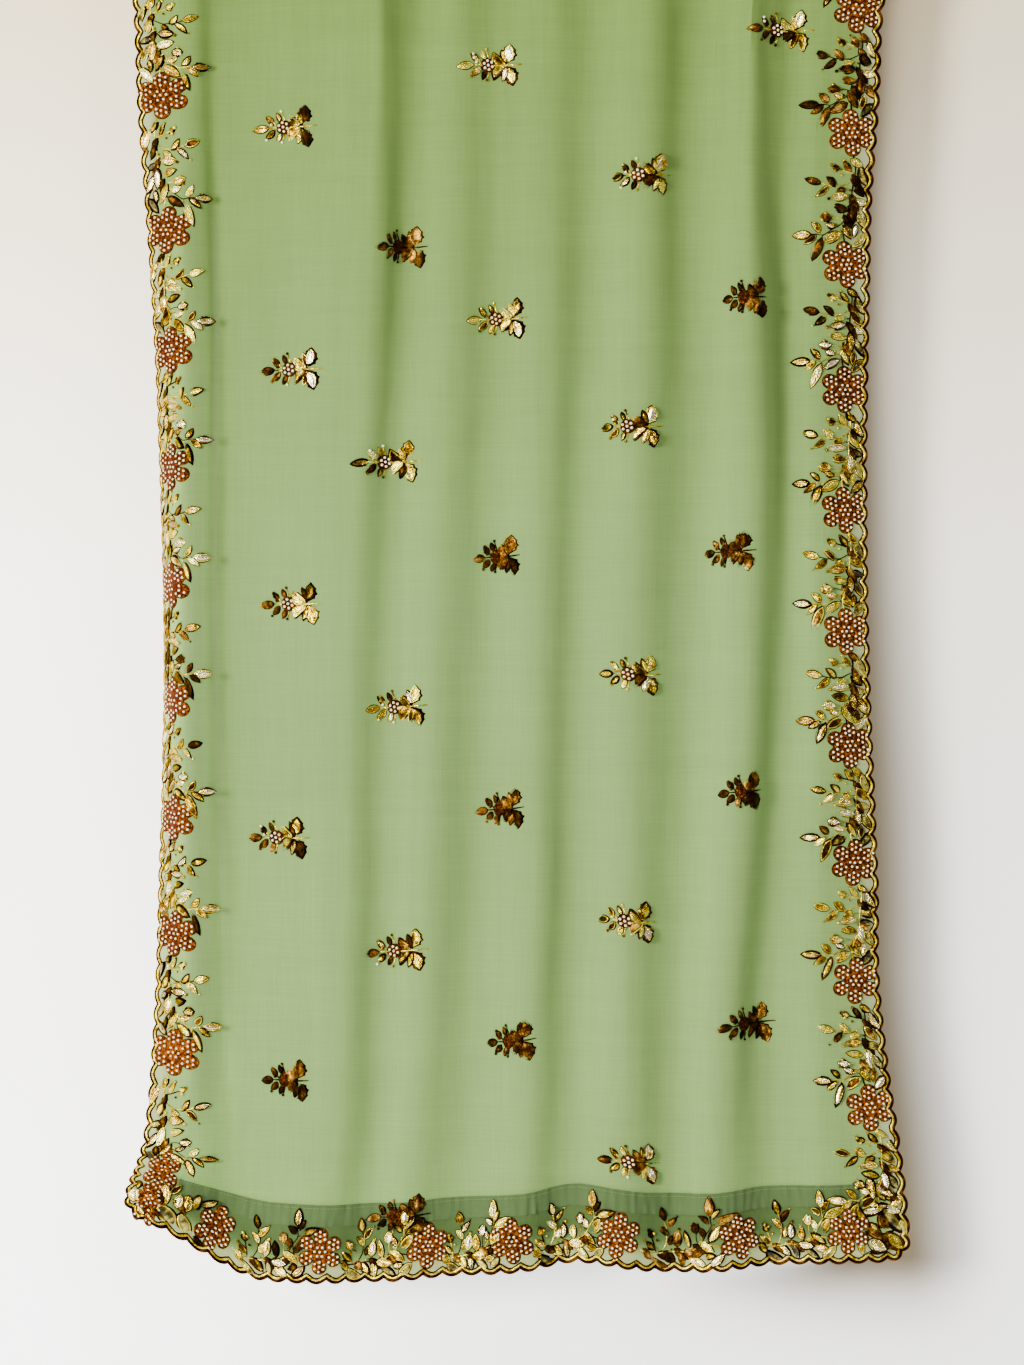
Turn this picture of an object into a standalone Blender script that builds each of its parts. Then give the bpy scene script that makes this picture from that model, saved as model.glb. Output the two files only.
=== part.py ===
"""Embroidered dupatta stole hung over a plain round rod. Metres, +Z up, the front faces -Y.

The stole is one sheet in flat coordinates: s runs across it from the left scallops, and v runs along
it from the rod's top line, positive down the front and negative down the back. hang() works out how
that sheet hangs in folds, and every sewn piece is a wall cut from it by an outline in (s, v).
"""

import math
from collections import namedtuple

import bpy
import numpy as np
from mathutils import Vector
from mathutils.geometry import delaunay_2d_cdt

MM = 0.001

# Driving dimensions of the flat stole
WIDTH = 0.640  # across, scallop tips to scallop tips
FRONT_DROP = 1.096  # rod's top line to the front scallop tips, along the cloth
BACK_DROP = 1.033
WALL = 0.0016
SEAM = 0.0003  # gap between pieces that are sewn together
SIDE_BORDER = 0.038
END_BORDER = 0.060  # panel's hem line to the scallop tips
BAND = 0.016  # turned hem that laps over the end border
BAND_PROUD = 0.0006  # how far its second layer stands out
END_TAB = 0.1043  # the end border's reach up each side
SCALLOP, SCALLOP_DEPTH, SCALLOP_STEPS = 0.015, 0.003, 3
CORNER_RADIUS = 0.018
OVER_ROD = 0.026  # half the stretch that lies over the rod

# The rod
ROD_DIAMETER = 0.025
ROD_LENGTH = 0.760
ROD_ROUNDING = 0.004
REST_GAP = 0.0005

# Raised embroidery
FLOWER_RADIUS, FLOWER_HEIGHT, FLOWER_CENTRE = 0.015, 0.0024, 0.0034
FLOWER_INSET = 0.019  # flower centre to scallop tips on the sides
FLOWER_RISE = 0.024  # flower centre to scallop tips along a hem
SPRIG_HEIGHT, SPRIG_REACH = 0.0014, 0.018

WRAP = ROD_DIAMETER / 2 + REST_GAP + WALL / 2  # radius of the cloth's middle over the rod
QUARTER = WRAP * math.pi / 2

# How the folds run. Places are in s, and heights are out from the plane that hangs off the rod, at the
# rod and at the top, middle and low stations of each half. steps is the number of mesh columns to the
# next row. shift and gain change a fold's place and height on the back.
STATIONS = (0.0, 0.12, 0.55, 1.05)
Fold = namedtuple(
    "Fold", "kind s_rod s_top s_mid s_low h_rod h_top h_mid h_low steps shift gain"
)
FOLDS = (
    Fold("edge", 0.000, 0.000, 0.000, 0.000, 0.001, -0.004, -0.012, -0.003, 1, 0.000, -0.30),
    Fold("ridge", 0.050, 0.048, 0.051, 0.046, 0.004, 0.011, 0.019, 0.005, 3, 0.004, 0.85),
    Fold("trough", 0.075, 0.072, 0.086, 0.078, 0.001, 0.001, 0.003, 0.000, 4, 0.006, 0.70),
    Fold("crease", 0.205, 0.206, 0.184, 0.156, 0.007, 0.023, 0.020, 0.011, 3, -0.008, 0.95),
    Fold("trough", 0.243, 0.244, 0.221, 0.192, 0.002, 0.004, 0.008, 0.001, 3, -0.006, 0.90),
    Fold("ridge", 0.275, 0.276, 0.257, 0.222, 0.005, 0.011, 0.015, 0.008, 3, 0.002, 1.20),
    Fold("trough", 0.306, 0.308, 0.301, 0.265, 0.002, 0.005, 0.004, 0.000, 3, 0.008, 0.50),
    Fold("ridge", 0.350, 0.352, 0.345, 0.320, 0.005, 0.011, 0.014, 0.010, 3, 0.002, 1.05),
    Fold("trough", 0.383, 0.384, 0.380, 0.356, 0.002, 0.005, 0.003, 0.000, 3, 0.006, 0.90),
    Fold("ridge", 0.434, 0.434, 0.428, 0.402, 0.006, 0.019, 0.017, 0.011, 3, 0.004, 1.05),
    Fold("trough", 0.476, 0.477, 0.476, 0.446, 0.001, 0.003, 0.004, 0.001, 3, 0.008, 0.80),
    Fold("crease", 0.526, 0.527, 0.528, 0.486, 0.007, 0.022, 0.022, 0.013, 3, 0.004, 0.85),
    Fold("trough", 0.568, 0.568, 0.573, 0.532, 0.001, 0.001, 0.001, 0.001, 2, 0.004, 1.00),
    Fold("ridge", 0.594, 0.594, 0.598, 0.580, 0.003, 0.006, 0.008, 0.008, 1, 0.000, 1.20),
    Fold("edge", 0.640, 0.640, 0.640, 0.640, 0.001, 0.000, -0.004, 0.001, 0, 0.000, -0.40),
)
CREASE_FADES = 0.45  # below this a crease is a soft ridge

# The hanging outline of the front, by v: where its left edge hangs and how wide it is from there.
Outline = namedtuple("Outline", "v left width")
OUTLINE = (
    Outline(0.000, -0.3090, 0.6230),
    Outline(0.072, -0.3020, 0.5985),
    Outline(0.152, -0.2992, 0.5916),
    Outline(0.232, -0.2936, 0.5800),
    Outline(0.312, -0.2880, 0.5728),
    Outline(0.432, -0.2832, 0.5664),
    Outline(0.592, -0.2800, 0.5645),
    Outline(0.792, -0.2832, 0.5752),
    Outline(0.872, -0.2856, 0.5784),
    Outline(0.952, -0.2900, 0.5912),
    Outline(1.020, -0.2985, 0.6095),
    Outline(1.096, -0.3080, 0.6270),
)
BACK_INSET = 0.007  # how far each edge of the back hangs inside the front's
BACK_EASE = 0.25  # drop over which the back departs from the front

# How far the front's hem is drawn up, by s. It grows down the front.
Lift = namedtuple("Lift", "s rise")
LIFTS = (
    Lift(0.00, 0.004),
    Lift(0.18, 0.000),
    Lift(0.25, 0.004),
    Lift(0.32, 0.009),
    Lift(0.37, 0.016),
    Lift(0.43, 0.009),
    Lift(0.47, 0.009),
    Lift(0.53, 0.014),
    Lift(0.64, 0.017),
)
# The front's left corner curls up and forward.
CURL_RISE, CURL_OUT, CURL_REACH_S, CURL_REACH_V = 0.052, 0.030, 0.115, 0.115

# Places of the embroidery in flat coordinates
FRONT_FLOWERS = {  # v of each flower of a side border
    "left": (0.0525, 0.1480, 0.2560, 0.3524, 0.4464, 0.5412, 0.6336, 0.7284, 0.8216, 0.9172, 1.0640),
    "right": (0.0790, 0.1779, 0.2846, 0.3865, 0.4852, 0.5847, 0.6786, 0.7741, 0.8704, 0.9739),
}
BACK_FLOWERS = {"left": (-0.0430, -0.0955, 11), "right": (-0.1180, -0.0985, 9)}  # first, pitch, count
HEM_FLOWERS = (0.0690, 0.1540, 0.2430, 0.3125, 0.4010, 0.5020, 0.5920)
# Sprigs stand in columns. On the front each has its own v and its own step aside from the column.
SprigColumn = namedtuple("SprigColumn", "s front aside back_first")
SPRIG_COLUMNS = (
    SprigColumn(0.127, (0.174, 0.368, 0.555, 0.742, 0.936), (0, 5, 8, -9, -10), -0.214),
    SprigColumn(0.218, (0.270, 0.442, 0.638, 0.833), (8, -3, 4, -3), -0.118),
    SprigColumn(0.308, (0.124, 0.328, 0.520, 0.724, 0.911), (-6, 0, 1, -1, 2), -0.284),
    SprigColumn(0.420, (0.214, 0.416, 0.616, 0.816, 1.011), (9, 2, 3, -5, -9), -0.186),
    SprigColumn(0.520, (0.096, 0.313, 0.518, 0.713, 0.902), (35, 4, -10, -1, 3), -0.105),
)
SPRIG_PITCH = 0.194
# Half outlines of a sprig: along from the tip leaf to the stem, and out from the stem line
SPRIG_FOOT = (
    (-0.024, 0.000),
    (-0.014, 0.004),
    (-0.006, 0.010),
    (0.002, 0.008),
    (0.012, 0.015),
    (0.021, 0.010),
    (0.024, 0.000),
)
SPRIG_TOP = ((-0.019, 0.000), (-0.004, 0.0045), (0.013, 0.0095), (0.020, 0.000))

FINISHES = {  # colour, roughness, metallic
    "sage_georgette": ((0.30, 0.39, 0.17), 0.75, 0.0),
    "pale_organza": ((0.37, 0.43, 0.25), 0.65, 0.0),
    "doubled_hem": ((0.18, 0.26, 0.08), 0.75, 0.0),
    "rod_wood": ((0.55, 0.38, 0.22), 0.50, 0.0),
}


def eased(t):
    """Smooth step, held at 0 and 1 outside."""
    t = np.clip(t, 0.0, 1.0)
    return t * t * (3 - 2 * t)


def smooth(at, stations, values):
    """A cubic through the values at the stations, level at the first one and held past the last."""
    i = int(np.clip(np.searchsorted(stations, at) - 1, 0, len(stations) - 2))
    x, y = stations, values
    gap = x[i + 1] - x[i]
    t = min(max((at - x[i]) / gap, 0.0), 1.0)
    last = len(x) - 1
    start = 0.0 if i == 0 else (y[i + 1] - y[i - 1]) / (x[i + 1] - x[i - 1])
    end = (y[min(i + 2, last)] - y[i]) / (x[min(i + 2, last)] - x[i])
    return (
        (1 + 2 * t) * (1 - t) ** 2 * y[i]
        + t * (1 - t) ** 2 * gap * start
        + t * t * (3 - 2 * t) * y[i + 1]
        + t * t * (t - 1) * gap * end
    )


def folds_at(v):
    """Each fold's place and height at this v."""
    drop, back = abs(v), v < 0
    blend = float(eased(drop / BACK_EASE)) if back else 0.0
    places, heights = [], []
    for fold in FOLDS:
        place = smooth(drop, STATIONS, (fold.s_rod, fold.s_top, fold.s_mid, fold.s_low))
        height = smooth(drop, STATIONS, (fold.h_rod, fold.h_top, fold.h_mid, fold.h_low))
        places.append(place + blend * fold.shift)
        heights.append(height * (1 + blend * (fold.gain - 1)))
    return places, heights


def relief(v, across):
    """Height of the folds at each s in across."""
    places, heights = folds_at(v)
    sharp = float(1 - eased(abs(v) / CREASE_FADES))
    k = np.clip(np.searchsorted(places, across) - 1, 0, len(FOLDS) - 2)
    places, heights = np.array(places), np.array(heights)
    t = np.clip((across - places[k]) / (places[k + 1] - places[k]), 0.0, 1.0)
    edge = np.array([float(f.kind == "edge") for f in FOLDS])
    steep = np.array([sharp if f.kind == "crease" else 0.0 for f in FOLDS]) + edge
    level = 0.5 - 0.5 * np.cos(np.pi * t)
    leaves = (5 * t - t**5) / 4  # steep at this row, level at the next
    meets = 1 - (5 * (1 - t) - (1 - t) ** 5) / 4
    share = level + steep[k] * (leaves - level) + steep[k + 1] * (meets - level)
    return heights[k] + share * (heights[k + 1] - heights[k])


def outline_at(v):
    """Where the left edge hangs, and the width from there, at this v."""
    stations = [row.v for row in OUTLINE]
    left = smooth(abs(v), stations, [row.left for row in OUTLINE])
    width = smooth(abs(v), stations, [row.width for row in OUTLINE])
    inset = BACK_INSET * float(eased(abs(v) / BACK_EASE)) if v < 0 else 0.0
    return left + inset, width - 2 * inset


def section(v, across):
    """x and height at each s: the folds are deepened until the cloth's true width just spans the outline."""
    left, width = outline_at(v)
    height = relief(v, across)
    slope = np.gradient(height, across)
    low, high = 0.0, 4.0
    for _ in range(40):
        depth = (low + high) / 2
        run = np.sqrt(np.clip(1 - (depth * slope) ** 2, 0.02, 1.0))
        span = float(np.sum((run[1:] + run[:-1]) / 2 * np.diff(across)))
        low, high = (depth, high) if span > width else (low, depth)
    steps = (run[1:] + run[:-1]) / 2 * np.diff(across)
    return left + np.concatenate([[0.0], np.cumsum(steps)]), depth * height


def drawn_up(v, across):
    """How far each point of the front is lifted, and how far its corner curls forward."""
    stations = [row.s for row in LIFTS]
    rises = [row.rise for row in LIFTS]
    rise = np.array([smooth(s, stations, rises) for s in across])
    rise *= float(eased((v - 0.10) / (FRONT_DROP - 0.10)))
    corner = (1 - eased(across / CURL_REACH_S)) * eased((v - FRONT_DROP) / CURL_REACH_V + 1)
    return rise + CURL_RISE * corner, CURL_OUT * corner


def hung(v, across):
    """Points of the hanging cloth at this v, for each s in across."""
    x, height = section(v, across)
    side = 1.0 if v < 0 else -1.0
    angle = min(abs(v), QUARTER) / WRAP
    below = max(abs(v) - QUARTER, 0.0)
    y = side * (WRAP + height) * math.sin(angle)
    z = (WRAP + height) * math.cos(angle) - below
    if v > 0:
        rise, curl = drawn_up(v, across)
        y, z = y - curl, z + rise
    return np.stack([x, y + 0 * x, z + 0 * x], axis=1)


def columns_at(v):
    """s of each mesh column at this v: the borders' own, and the folds' with steps between them."""
    places = folds_at(v)[0]
    marks = [SIDE_BORDER, *places[1:-1], WIDTH - SIDE_BORDER]
    columns = [0.0, FLOWER_INSET]
    for start, end, fold in zip(marks, marks[1:], FOLDS):
        columns += [start + (end - start) * i / fold.steps for i in range(fold.steps)]
    return np.array([*columns, WIDTH - SIDE_BORDER, WIDTH - FLOWER_INSET, WIDTH])


def mesh_rows():
    """v of each mesh row, from the back's hem to the front's."""
    over = np.linspace(-OVER_ROD, OVER_ROD, 9)
    near = (0.060, 0.110)

    def half(drop):
        band, hem = drop - END_BORDER, drop - END_BORDER + BAND
        return [*near, *np.linspace(0.180, band, 10), hem, (hem + drop) / 2, drop + 0.003]

    return np.array([*(-v for v in reversed(half(BACK_DROP))), *over, *half(FRONT_DROP)])


class Sheet:
    """The hanging cloth as a lattice of columns and rows, from which every piece is cut."""

    def __init__(self):
        self.rows = mesh_rows()
        fine = np.linspace(0.0, WIDTH, 641)
        self.columns = np.array([columns_at(v) for v in self.rows])
        self.points = np.array(
            [
                [[np.interp(s, fine, axis) for axis in hung(v, fine).T] for s in columns]
                for v, columns in zip(self.rows, self.columns)
            ]
        )
        across, along = np.gradient(self.points, axis=1), np.gradient(self.points, axis=0)
        normals = np.cross(along, across)
        self.normals = normals / np.linalg.norm(normals, axis=2, keepdims=True)

    def row_below(self, v):
        """The row that v follows, and how far it is towards the next."""
        j = int(np.clip(np.searchsorted(self.rows, v) - 1, 0, len(self.rows) - 2))
        return j, (v - self.rows[j]) / (self.rows[j + 1] - self.rows[j])

    def marks(self, v):
        """s of each column at any v."""
        j, g = self.row_below(v)
        return (1 - g) * self.columns[j] + g * self.columns[j + 1]

    def place(self, s, v, out):
        """The point at (s, v), moved out from the cloth's middle."""
        j, g = self.row_below(v)
        marks = self.marks(v)
        k = int(np.clip(np.searchsorted(marks, s) - 1, 0, len(marks) - 2))
        f = (s - marks[k]) / (marks[k + 1] - marks[k])
        found = []
        for values in (self.points, self.normals):
            upper = (1 - f) * values[j, k] + f * values[j, k + 1]
            lower = (1 - f) * values[j + 1, k] + f * values[j + 1, k + 1]
            found.append((1 - g) * upper + g * lower)
        return found[0] + out * found[1]


def inside(point, polygon):
    """True where the point is inside the polygon."""
    x, y = point
    crossings = 0
    for (ax, ay), (bx, by) in zip(polygon, polygon[1:] + polygon[:1]):
        if (ay > y) != (by > y) and x < ax + (y - ay) / (by - ay) * (bx - ax):
            crossings += 1
    return crossings % 2 == 1


def clearance(point, polygon):
    """Distance from the point to the polygon's nearest edge."""
    ends = np.array(polygon)
    starts, runs = ends, np.roll(ends, -1, axis=0) - ends
    share = ((np.array(point) - starts) * runs).sum(axis=1) / np.maximum((runs**2).sum(axis=1), 1e-18)
    nearest = starts + np.clip(share, 0, 1)[:, None] * runs
    return float(np.linalg.norm(nearest - np.array(point), axis=1).min())


Bump = namedtuple("Bump", "centre base top height centre_height")


def flower(s, v):
    """A flower of six petals: a lobed foot and a smaller top."""
    lobes = [FLOWER_RADIUS * (1.0 if i % 2 else 0.86) for i in range(12)]
    turns = [math.radians(30 * i) for i in range(12)]
    base = [(s + r * math.cos(a), v + r * math.sin(a)) for r, a in zip(lobes, turns)]
    top = [
        (s + 0.72 * FLOWER_RADIUS * math.cos(a), v + 0.72 * FLOWER_RADIUS * math.sin(a))
        for a in turns[1::2]
    ]
    return Bump((s, v), base, top, FLOWER_HEIGHT, FLOWER_CENTRE)


def sprig(s, v):
    """A sprig lying across the cloth, its tip leaf to the left."""

    def ring(half):
        mirrored = [(u, -w) for u, w in half[-2:0:-1]]
        return [(s + u, v + w) for u, w in (*half, *mirrored)]

    return Bump((s, v), ring(SPRIG_FOOT), ring(SPRIG_TOP), SPRIG_HEIGHT, None)


def side_flowers(side, low, high):
    """The flowers of one side border that lie wholly between two v."""
    s = FLOWER_INSET if side == "left" else WIDTH - FLOWER_INSET
    first, pitch, count = BACK_FLOWERS[side]
    places = [*FRONT_FLOWERS[side], *(first + pitch * i for i in range(count))]
    reach = FLOWER_RADIUS + 0.001
    return [flower(s, v) for v in places if low + reach < v < high - reach]


def hem_flowers(drop, direction):
    """The flowers along a hem."""
    return [flower(s, direction * (drop - FLOWER_RISE)) for s in HEM_FLOWERS]


def sprigs(low, high):
    """The sprigs of the panel that lie wholly between two v."""
    places = []
    for column in SPRIG_COLUMNS:
        places += [(column.s + MM * step, v) for step, v in zip(column.aside, column.front)]
        places += [(column.s, column.back_first - SPRIG_PITCH * i) for i in range(5)]
    return [sprig(s, v) for s, v in places if low + SPRIG_REACH < v < high - SPRIG_REACH]


def scalloped(base, length):
    """Scallops along a base line given as base(t) -> (point, outward direction), without its last point."""
    count = max(round(length / SCALLOP), 1)
    points = []
    for i in range(count * SCALLOP_STEPS):
        t = i / (count * SCALLOP_STEPS)
        (s, v), (out_s, out_v) = base(t)
        inset = SCALLOP_DEPTH * (1 - abs(math.sin(math.pi * count * t)))
        points.append((s - inset * out_s, v - inset * out_v))
    return points


def line(start, end, out):
    """A straight base line and its length."""

    def base(t):
        return ((start[0] + (end[0] - start[0]) * t, start[1] + (end[1] - start[1]) * t), out)

    return base, math.dist(start, end)


def arc(centre, start_deg, end_deg):
    """A corner's base line and its length."""

    def base(t):
        a = math.radians(start_deg + (end_deg - start_deg) * t)
        out = (math.cos(a), math.sin(a))
        return ((centre[0] + CORNER_RADIUS * out[0], centre[1] + CORNER_RADIUS * out[1]), out)

    return base, CORNER_RADIUS * math.radians(abs(end_deg - start_deg))


def seam_points(sheet, v, low, high):
    """Points along a seam at this v, one at each column between two s, in order of s."""
    inner = [float(s) for s in sheet.marks(v) if low + 1e-4 < s < high - 1e-4]
    return [(s, v) for s in (low, *inner, high)]


def edge_points(sheet, s, low, high):
    """Points along a seam at this s, one at each row strictly between two v, in order of v."""
    return [(s, float(v)) for v in sheet.rows if low + 1e-3 < v < high - 1e-3]


def panel_outline(sheet, low, high):
    """A stretch of the main panel between two seams."""
    left, right = SIDE_BORDER + SEAM / 2, WIDTH - SIDE_BORDER - SEAM / 2
    return [
        *seam_points(sheet, low, left, right),
        *edge_points(sheet, right, low, high),
        *reversed(seam_points(sheet, high, left, right)),
        *reversed(edge_points(sheet, left, low, high)),
    ]


def border_outline(sheet, side, low, high):
    """A stretch of one side border between two seams, scalloped on its outer edge."""
    seam = SIDE_BORDER - SEAM / 2
    base, length = line((0.0, high), (0.0, low), (-1.0, 0.0))
    points = [
        *scalloped(base, length),
        (SCALLOP_DEPTH, low),
        (FLOWER_INSET, low),
        (seam, low),
        *edge_points(sheet, seam, low, high),
        (seam, high),
        (FLOWER_INSET, high),
    ]
    if side == "left":
        return points
    return [(WIDTH - s, v) for s, v in reversed(points)]


def end_outline(sheet, drop, direction):
    """A U-shaped end border: scallops round its sides, corners and hem, and a notch for the panel."""
    top, notch = drop - END_TAB + SEAM / 2, drop - END_BORDER + BAND + SEAM / 2
    knee = drop - END_BORDER
    seam, turn = SIDE_BORDER - SEAM / 2, drop - CORNER_RADIUS
    far = WIDTH - CORNER_RADIUS
    runs = (
        line((0.0, top), (0.0, turn), (-1.0, 0.0)),
        arc((CORNER_RADIUS, turn), 180, 90),
        line((CORNER_RADIUS, drop), (far, drop), (0.0, 1.0)),
        arc((far, turn), 90, 0),
        line((WIDTH, turn), (WIDTH, top), (1.0, 0.0)),
    )
    points = [point for base, length in runs for point in scalloped(base, length)]
    points += [(WIDTH - SCALLOP_DEPTH, top), (WIDTH - FLOWER_INSET, top)]
    points += [(WIDTH - seam, top), (WIDTH - seam, knee)]
    notch_line = seam_points(sheet, direction * notch, seam, WIDTH - seam)
    points += [(s, notch) for s, _ in reversed(notch_line)]
    points += [(seam, knee), (seam, top), (FLOWER_INSET, top)]
    return [(s, direction * v) for s, v in points]


def lattice(sheet, outline):
    """The sheet's own points inside an outline, and the column edges that join them and it."""
    corners = np.array(outline)
    points, index, edges = list(outline), {}, []
    on_outline = {(round(s, 6), round(v, 6)): i for i, (s, v) in enumerate(outline)}
    for j, v in enumerate(sheet.rows):
        if not corners[:, 1].min() < v < corners[:, 1].max():
            continue
        for k, s in enumerate(sheet.columns[j]):
            spot = (float(s), float(v))
            if inside(spot, outline) and clearance(spot, outline) > 0.0035:
                index[j, k] = len(points)
                points.append(spot)
    for (j, k), i in index.items():
        if (j + 1, k) in index:
            edges.append((i, index[j + 1, k]))
    for v in sorted({round(v, 6) for _, v in outline}):
        j, _ = sheet.row_below(v)
        for k, s in enumerate(sheet.marks(v)):
            i = on_outline.get((round(float(s), 6), v))
            for row in (j, j + 1):
                if i is not None and (row, k) in index and abs(sheet.rows[row] - v) > 1e-6:
                    edges.append((i, index[row, k]))
    return points, edges


def triangulated(points, edges, outline, rings):
    """Triangles in (s, v) of an outline with its lattice and the rings of its bumps."""
    points, edges = list(points), list(edges)
    for ring in rings:
        first = len(points)
        points += ring
        count = len(ring)
        if count > 1:
            edges += [(first + i, first + (i + 1) % count) for i in range(count)]
    flat = [Vector((s * 1000, v * 1000)) for s, v in points]
    boundary = [list(range(len(outline)))]
    found = delaunay_2d_cdt(flat, edges, boundary, 1, 1e-4)
    return [(p.x / 1000, p.y / 1000) for p in found[0]], [tuple(face) for face in found[2]]


def height_over(spot, bumps):
    """How far a point of the outer face is raised."""
    for bump in bumps:
        if math.dist(spot, bump.centre) > 0.03:
            continue
        if bump.centre_height and math.dist(spot, bump.centre) < 1e-5:
            return bump.centre_height
        middle = bump.centre
        grown = [
            (middle[0] + 1.01 * (s - middle[0]), middle[1] + 1.01 * (v - middle[1]))
            for s, v in bump.top
        ]
        if inside(spot, grown):
            return bump.height
    return 0.0


def rim(faces, spots):
    """The boundary edges of a triangulation, each in its triangle's own direction, by rounded place."""
    key = [(round(s, 7), round(v, 7)) for s, v in spots]
    directed = {(a, b) for face in faces for a, b in zip(face, face[1:] + face[:1])}
    return {(key[a], key[b]): (a, b) for a, b in directed if (b, a) not in directed}


def wall(sheet, name, outline, finish, bumps=(), proud=0.0):
    """A piece of cloth: a plain inner face, an outer face with its bumps, and the rim between them."""
    points, edges = lattice(sheet, outline)
    inner_spots, inner = triangulated(points, edges, outline, [])
    rings = [ring for bump in bumps for ring in (bump.base, bump.top)]
    rings += [[bump.centre] for bump in bumps if bump.centre_height]
    outer_spots, outer = triangulated(points, edges, outline, rings)
    vertices = [sheet.place(s, v, -WALL / 2) for s, v in inner_spots]
    for s, v in outer_spots:
        out = WALL / 2 + proud + height_over((s, v), bumps)
        vertices.append(sheet.place(s, v, out))
    first = len(inner_spots)
    faces = [tuple(face) for face in inner]
    faces += [tuple(first + i for i in reversed(face)) for face in outer]
    outer_rim = rim(outer, outer_spots)
    for ends, (a, b) in rim(inner, inner_spots).items():
        c, d = outer_rim[ends]
        faces.append((b, a, first + c, first + d))
    return add_mesh(name, vertices, faces, finish)


def finish_material(finish):
    """The Principled material of a finish."""
    material = bpy.data.materials.get(finish)
    if material is None:
        colour, roughness, metallic = FINISHES[finish]
        material = bpy.data.materials.new(finish)
        material.use_nodes = True
        shader = material.node_tree.nodes["Principled BSDF"]
        shader.inputs["Base Color"].default_value = (*colour, 1.0)
        shader.inputs["Roughness"].default_value = roughness
        shader.inputs["Metallic"].default_value = metallic
        material.diffuse_color = (*colour, 1.0)
    return material


def add_mesh(name, vertices, faces, finish):
    """A named object of the stole's collection."""
    mesh = bpy.data.meshes.new(name)
    mesh.from_pydata([tuple(map(float, p)) for p in vertices], [], faces)
    mesh.shade_smooth()
    mesh.set_sharp_from_angle(angle=math.radians(40))
    mesh.materials.append(finish_material(finish))
    piece = bpy.data.objects.new(name, mesh)
    bpy.data.collections["dupatta_stole_on_rod"].objects.link(piece)
    return piece


def add_rod():
    """The round rod along X, centred on the origin."""
    bpy.ops.mesh.primitive_cylinder_add(
        vertices=24, radius=ROD_DIAMETER / 2, depth=ROD_LENGTH, rotation=(0, math.pi / 2, 0)
    )
    rod = bpy.context.active_object
    rod.name = rod.data.name = "rod"
    rounding = rod.modifiers.new("rounded_ends", "BEVEL")
    rounding.width = ROD_ROUNDING
    rounding.segments = 2
    rounding.limit_method = "ANGLE"
    rod.data.materials.append(finish_material("rod_wood"))
    rod.data.shade_smooth()
    rod.data.set_sharp_from_angle(angle=math.radians(40))
    for collection in list(rod.users_collection):
        collection.objects.unlink(rod)
    bpy.data.collections["dupatta_stole_on_rod"].objects.link(rod)


def add_half(sheet, half, drop, direction):
    """The panel, borders and hem band of the front or the back."""
    hem_line = direction * (drop - END_BORDER)
    band_end = direction * (drop - END_BORDER + BAND)
    tab = direction * (drop - END_TAB)
    start = direction * OVER_ROD
    gap = direction * SEAM / 2

    low, high = sorted((start + gap, hem_line - gap))
    wall(sheet, f"panel_{half}", panel_outline(sheet, low, high), "sage_georgette", sprigs(low, high))

    low, high = sorted((hem_line + gap, band_end - gap))
    wall(sheet, f"hem_band_{half}", panel_outline(sheet, low, high), "doubled_hem", proud=BAND_PROUD)

    low, high = sorted((start + gap, tab - gap))
    for side in ("left", "right"):
        outline = border_outline(sheet, side, low, high)
        flowers = side_flowers(side, low, high)
        wall(sheet, f"border_{side}_{half}", outline, "pale_organza", flowers)

    tab_end, hem = sorted((tab, direction * drop))
    flowers = [
        *hem_flowers(drop, direction),
        *side_flowers("left", tab_end, hem),
        *side_flowers("right", tab_end, hem),
    ]
    wall(sheet, f"border_end_{half}", end_outline(sheet, drop, direction), "pale_organza", flowers)


def add_over_rod(sheet):
    """The stretch of panel and side borders that lies over the rod."""
    low, high = -OVER_ROD + SEAM / 2, OVER_ROD - SEAM / 2
    wall(sheet, "panel_over_rod", panel_outline(sheet, low, high), "sage_georgette")
    for side in ("left", "right"):
        outline = border_outline(sheet, side, low, high)
        wall(sheet, f"border_{side}_over_rod", outline, "pale_organza")


def main():
    for leftover in list(bpy.data.objects):
        bpy.data.objects.remove(leftover, do_unlink=True)
    bpy.context.scene.collection.children.link(
        bpy.data.collections.new("dupatta_stole_on_rod")
    )
    sheet = Sheet()
    add_rod()
    add_over_rod(sheet)
    add_half(sheet, "front", FRONT_DROP, 1.0)
    add_half(sheet, "back", BACK_DROP, -1.0)


main()
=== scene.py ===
import math
import random
from collections import namedtuple

import bpy
import numpy as np
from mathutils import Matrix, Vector
from mathutils.geometry import delaunay_2d_cdt


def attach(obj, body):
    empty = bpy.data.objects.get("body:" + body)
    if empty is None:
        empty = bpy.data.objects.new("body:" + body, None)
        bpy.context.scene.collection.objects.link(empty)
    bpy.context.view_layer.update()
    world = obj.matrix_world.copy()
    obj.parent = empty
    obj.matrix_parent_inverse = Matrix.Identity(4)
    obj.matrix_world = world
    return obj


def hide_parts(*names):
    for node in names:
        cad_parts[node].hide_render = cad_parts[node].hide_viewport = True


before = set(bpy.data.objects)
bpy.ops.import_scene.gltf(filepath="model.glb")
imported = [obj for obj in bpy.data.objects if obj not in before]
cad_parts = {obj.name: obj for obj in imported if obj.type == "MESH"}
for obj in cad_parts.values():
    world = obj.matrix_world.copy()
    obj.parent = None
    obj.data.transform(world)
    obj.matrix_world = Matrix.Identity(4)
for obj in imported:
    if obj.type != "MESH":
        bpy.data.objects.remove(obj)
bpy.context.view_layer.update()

WINDOW, CAMERA, AIM = (-1.85, -2.5, -0.3), (0.0, -2.62, -0.596), (0.0, 0.0, -0.6)
rng = random.Random(7)
MM = 0.001


def table(fields, *rows):
    """Rows of values with named fields."""
    row = namedtuple("Row", fields)
    return tuple(row(*values) for values in rows)


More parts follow.
